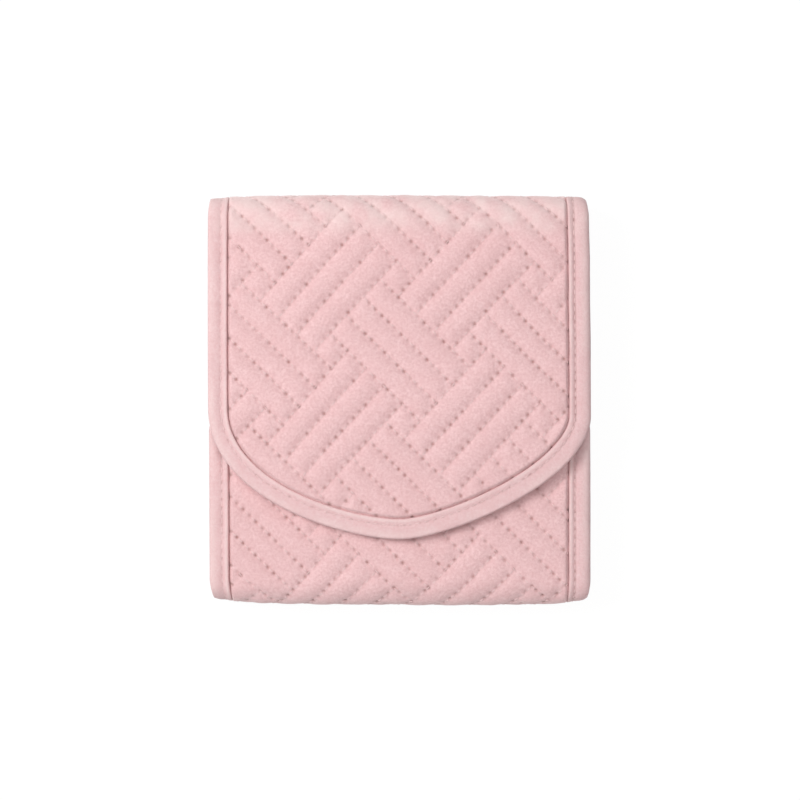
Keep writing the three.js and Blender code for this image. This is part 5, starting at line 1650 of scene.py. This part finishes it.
class ORGANIZER_OT_earring_page(bpy.types.Operator):
    """Makes the bound earring page with its eyelets, and the cloth it turns on"""

    bl_idname = "organizer.earring_page"
    bl_label = "Earring page"

    def execute(self, context):
        looks = finishes()
        leaf = fitted("page_leaf", "earring_page", "earring_page", "lining", "pad", width=0.2 * MM,
                      swell=0.05 * MM, detail=2.2 * MM)
        fitted("page_bound_edge", "earring_page_binding", "earring_page", "binding", "binding",
               width=0.3 * MM, swell=0.05 * MM, detail=1.6 * MM)
        fitted("page_hinge_strip", "earring_page_strip", "bottom_spine", "lining", "lining", width=0.12 * MM)
        turn_y, turn_z = joint("earring_page_turn")["pos_m"][1:]
        for vert in leaf.data.vertices:
            if vert.co.y < turn_y:
                vert.co.y = turn_y + (vert.co.y - turn_y) * TONGUE_SHARE
        low, high = box_of("earring_page_strip")
        half = [(low.y + 0.15 * MM, 1.5), (high.y + 0.15 * MM, 1.35), (high.y + 0.45 * MM, 0.62)]
        half += [(y, 0.4) for y in np.linspace(high.y + 0.8 * MM, turn_y + 1.6 * MM, 9)]
        section = [(y, turn_z + h * MM) for y, h in half] + [(y, turn_z - h * MM) for y, h in reversed(half)]
        xs = np.arange(low.x + 0.4 * MM, high.x, 1.5 * MM)
        wave = value_noise(xs, 0 * xs, 7 * MM, 97) * 0.06 * MM
        cloth = drawn_across("page_hinge_cloth", xs, section, looks["lining"], wave)
        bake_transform(cloth)
        low, high = box_of("earring_page_binding")
        outline = closed_outline(low, high, 3.4 * MM)[::-1]
        rows = [flat_run(outline, high.z + STITCH_LIFT), flat_run(outline, low.z - STITCH_LIFT, -1.0)]
        carried(stitched("page_stitches", rows, **PAGE_STITCH), "earring_page", "binding")
        leaf_low, leaf_high = box_of("earring_page")
        middle = (high.y + turn_y + 0.3 * MM) / 2
        places = [(column * EYELET_PITCH, middle + row * EYELET_ROWS_APART)
                  for row in (-0.5, 0.5) for column in range(-3, 4)]
        points = [(*place, z) for place in places for z in (leaf_high.z, leaf_low.z)]
        ups = [(0, 0, up) for _ in places for up in (1.0, -1.0)]
        eyelet = eyelet_part(looks["gold"])
        rings = repeated("page_eyelets", eyelet, points, ups, [(1.0, 0, 0)] * len(points))
        bpy.data.objects.remove(eyelet)
        carried(rings, "earring_page", "gold")
        return {"FINISHED"}


def eyelet_part(material):
    """A small rolled ring that lines an earring hole, lying in the XY plane."""
    bm = bmesh.new()
    section = [(1.05, -0.35), (1.05, 0.05), (1.2, 0.2), (1.6, 0.24), (2.0, 0.14), (2.05, -0.02),
               (1.35, -0.05), (1.3, -0.35)]
    around = 20
    rings = [ring_of_points(bm, radius, (0, 0), height * MM, around) for radius, height in section]
    for a, b in zip(rings, rings[1:] + rings[:1]):
        for k in range(around):
            following = (k + 1) % around
            bm.faces.new((a[k], a[following], b[following], b[k]))
    bmesh.ops.recalc_face_normals(bm, faces=bm.faces)
    part = from_bmesh("eyelet", bm, material)
    part.hide_render = True
    return part


class ORGANIZER_OT_slip_pockets(bpy.types.Operator):
    """Makes the slip pockets on the inside of the flap and of the front panel"""

    bl_idname = "organizer.slip_pockets"
    bl_label = "Slip pockets"

    def execute(self, context):
        looks = finishes()
        low, high = box_of("flap_pocket")
        depth = LINING_FACE + (high.z - low.z) + STITCH_LIFT
        mouth, bottom = flap_station(high.y), flap_station(low.y)

        def gathers(x, s):
            fade = np.exp(-(s - mouth) / (16 * MM))
            return 0.22 * MM * fade * value_noise(x * 1.0, s * 0.12, 2.2 * MM, 75)

        def ribs(x, s):
            band = 0.12 * MM * np.cos(2 * math.pi * (s - top) / (0.9 * MM))
            return band + 0.15 * MM * value_noise(x, s * 0.2, 1.9 * MM, 76)

        def sewn(name, node, panel, look, kind, **options):
            station = flap_station if panel == "flap" else front_station
            low, high = box_of(node)
            window = (station(high.y), station(low.y), high.x)
            cloth = patch(name, STRETCHES[panel], window, PATCH_INSET, high.z - low.z, looks[look], **options)
            carried(cloth, panel, kind, node)

        top = flap_station(box_of("flap_pocket_elastic")[1].y)
        sewn("flap_pocket_cloth", "flap_pocket", "flap", "pad", "lining", relief=gathers, step=0.8 * MM)
        sewn("flap_pocket_band", "flap_pocket_elastic", "flap", "elastic", "elastic", relief=ribs,
             step=0.35 * MM)
        sewn("front_pocket_cloth", "front_pocket", "front", "pad", "lining")
        low, high = box_of("front_pocket")
        first, last = front_station(high.y), front_station(low.y)
        rows = [line_run((low.x + 2 * MM, s), (high.x - 2 * MM, s), depth)
                for s in (first + 1.2 * MM, first + 3.4 * MM)]
        rows.append(line_run((0, first + 4 * MM), (0, last - 1.5 * MM), depth))
        carried(stitched("front_pocket_stitches", rows, **POCKET_STITCH), "front", "lining")
        rows = [line_run((-half, s), (half, s), depth)
                for half, s in ((60 * MM, mouth + 1.3 * MM), (40 * MM, bottom - 1.5 * MM))]
        carried(stitched("flap_pocket_stitches", rows, **POCKET_STITCH), "flap", "lining")
        return {"FINISHED"}


class ORGANIZER_OT_snap(bpy.types.Operator):
    """Makes the magnetic snap that closes the flap"""

    bl_idname = "organizer.snap"
    bl_label = "Magnetic snap"

    def execute(self, context):
        centre, _ = fitting_seat("flap_snap_post", top=True)
        radius = box_of("flap_snap_post")[1].x / MM
        post = lathe("snap_post", [
            (0, 0), (1.5, 0), (1.5, 1.0), (radius - 0.15, 1.0), (radius, 1.15), (radius, 1.4),
            (radius - 0.2, 1.6), (radius - 0.6, 1.7), (6.0, 1.62), (5.6, 1.55), (5.2, 1.62), (3.0, 1.66),
            (2.4, 1.7), (2.15, 1.9), (2.1, 2.6), (1.95, 3.0), (1.6, 3.18), (0, 3.2)], centre, 72, -1)
        carried(post, "flap", "gold", "flap_snap_post")
        centre, _ = fitting_seat("front_snap_cup")
        cup = lathe("snap_cup", [
            (0, 0), (1.5, 0), (1.5, 1.2), (3.2, 1.2), (3.28, 1.35), (3.28, 2.75), (6.4, 2.75), (6.5, 0.95),
            (6.85, 0.9), (radius, 1.05), (radius, 2.75), (radius - 0.15, 3.05), (radius - 0.55, 3.26),
            (6.1, 3.3), (5.7, 3.22), (5.3, 3.29), (3.6, 3.3), (3.1, 3.24), (2.85, 3.05), (2.8, 1.75),
            (2.6, 1.7), (0, 1.7)], centre, 72)
        carried(cup, "front", "gold", "front_snap_cup")
        return {"FINISHED"}


class ORGANIZER_OT_inner_parts(bpy.types.Operator):
    """Gives the hidden boards, washers and magnet their finish"""

    bl_idname = "organizer.inner_parts"
    bl_label = "Boards, washers and magnet"

    def execute(self, context):
        hidden = {
            "back_board": "board", "flap_board": "board", "front_board": "board",
            "flap_snap_washer": "steel", "front_snap_washer": "steel", "front_snap_magnet": "steel",
        }
        for node, key in hidden.items():
            for material_slot in bpy.data.objects[node].material_slots:
                material_slot.material = finishes()[key]
        return {"FINISHED"}


# Stage
class ORGANIZER_OT_stage(bpy.types.Operator):
    """Makes the pale floor, the soft lamps and the camera straight above the closed case"""

    bl_idname = "organizer.stage"
    bl_label = "Stage"

    def execute(self, context):
        scene = context.scene
        corners = [(x * FLOOR_HALF, y * FLOOR_HALF, FLOOR_Z) for x, y in ((-1, -1), (1, -1), (1, 1), (-1, 1))]
        new_object("floor", corners, [(0, 1, 2, 3)], floor_material(), False)
        world = bpy.data.worlds.new("Studio")
        world.use_nodes = True
        background = world.node_tree.nodes["Background"]
        background.inputs["Color"].default_value = (1, 1, 1, 1)
        background.inputs["Strength"].default_value = WORLD_STRENGTH
        scene.world = world
        for name, (place, span, power) in LAMPS.items():
            light = bpy.data.lights.new(name, "AREA")
            light.shape, light.size, light.energy = "SQUARE", span, power
            lamp = linked(name, light)
            lamp.location = place
            lamp.rotation_euler = (-Vector(place)).to_track_quat("-Z", "Y").to_euler()
        camera_data = bpy.data.cameras.new("camera")
        camera_data.sensor_width = SENSOR_WIDTH
        camera_data.lens = SENSOR_WIDTH * CAMERA_DISTANCE / FRAME_WIDTH
        camera_data.clip_start, camera_data.clip_end = 0.05, 10
        camera = linked("camera", camera_data)
        camera.location = (0.0, 0.0, CAMERA_DISTANCE + THICKNESS * 0.6)
        scene.camera = camera
        scene.view_settings.view_transform = "Standard"
        return {"FINISHED"}


def floor_material():
    """A pale floor that glows where it is seen and lights nothing, white but for the soft shadow."""
    look = Look("Floor")
    floor = look.finished({"Base Color": (0.86, 0.86, 0.86), "Roughness": 0.9, "Specular IOR Level": 0.1})
    glow = look.add("Emission", {"Color": (1, 1, 1), "Strength": FLOOR_GLOW}).outputs[0]
    path = look.add("LightPath", {}).outputs
    seen = path["Is Camera Ray"]
    for ray in ("Is Glossy Ray", "Is Transmission Ray"):
        seen = look.maths("MAXIMUM", seen, path[ray])
    share = look.maths("MULTIPLY", seen, FLOOR_GLOW_SHARE)
    mix = look.add("MixShader", {0: share, 1: look.shader.outputs[0], 2: glow})
    look.feed(look.nodes["Material Output"], {"Surface": mix.outputs[0]})
    return floor


class ORGANIZER_PT_sidebar(bpy.types.Panel):
    bl_idname = "ORGANIZER_PT_sidebar"
    bl_label = "Travel jewelry organizer"
    bl_space_type = "VIEW_3D"
    bl_region_type = "UI"
    bl_category = "Organizer"

    def draw(self, context):
        layout = self.layout
        for settings in (context.scene.organizer_sizes, context.scene.organizer_colours):
            box = layout.box()
            for key in settings.__annotations__:
                box.prop(settings, key)
        for operator in OPERATORS:
            layout.operator(operator.bl_idname)


OPERATORS = (
    ORGANIZER_OT_covers, ORGANIZER_OT_bindings, ORGANIZER_OT_linings, ORGANIZER_OT_zip_pocket,
    ORGANIZER_OT_ring_bar, ORGANIZER_OT_necklace_tabs, ORGANIZER_OT_earring_page, ORGANIZER_OT_slip_pockets,
    ORGANIZER_OT_snap, ORGANIZER_OT_inner_parts, ORGANIZER_OT_stage,
)
CLASSES = (OrganizerSizes, OrganizerColours, *OPERATORS, ORGANIZER_PT_sidebar)


def register():
    for cls in CLASSES:
        bpy.utils.register_class(cls)
    bpy.types.Scene.organizer_sizes = PointerProperty(type=OrganizerSizes)
    bpy.types.Scene.organizer_colours = PointerProperty(type=OrganizerColours)


def unregister():
    del bpy.types.Scene.organizer_colours
    del bpy.types.Scene.organizer_sizes
    for cls in reversed(CLASSES):
        bpy.utils.unregister_class(cls)


def main():
    register()
    for operator in OPERATORS:
        group, name = operator.bl_idname.split(".")
        getattr(getattr(bpy.ops, group), name)()


if __name__ == "__main__":
    main()
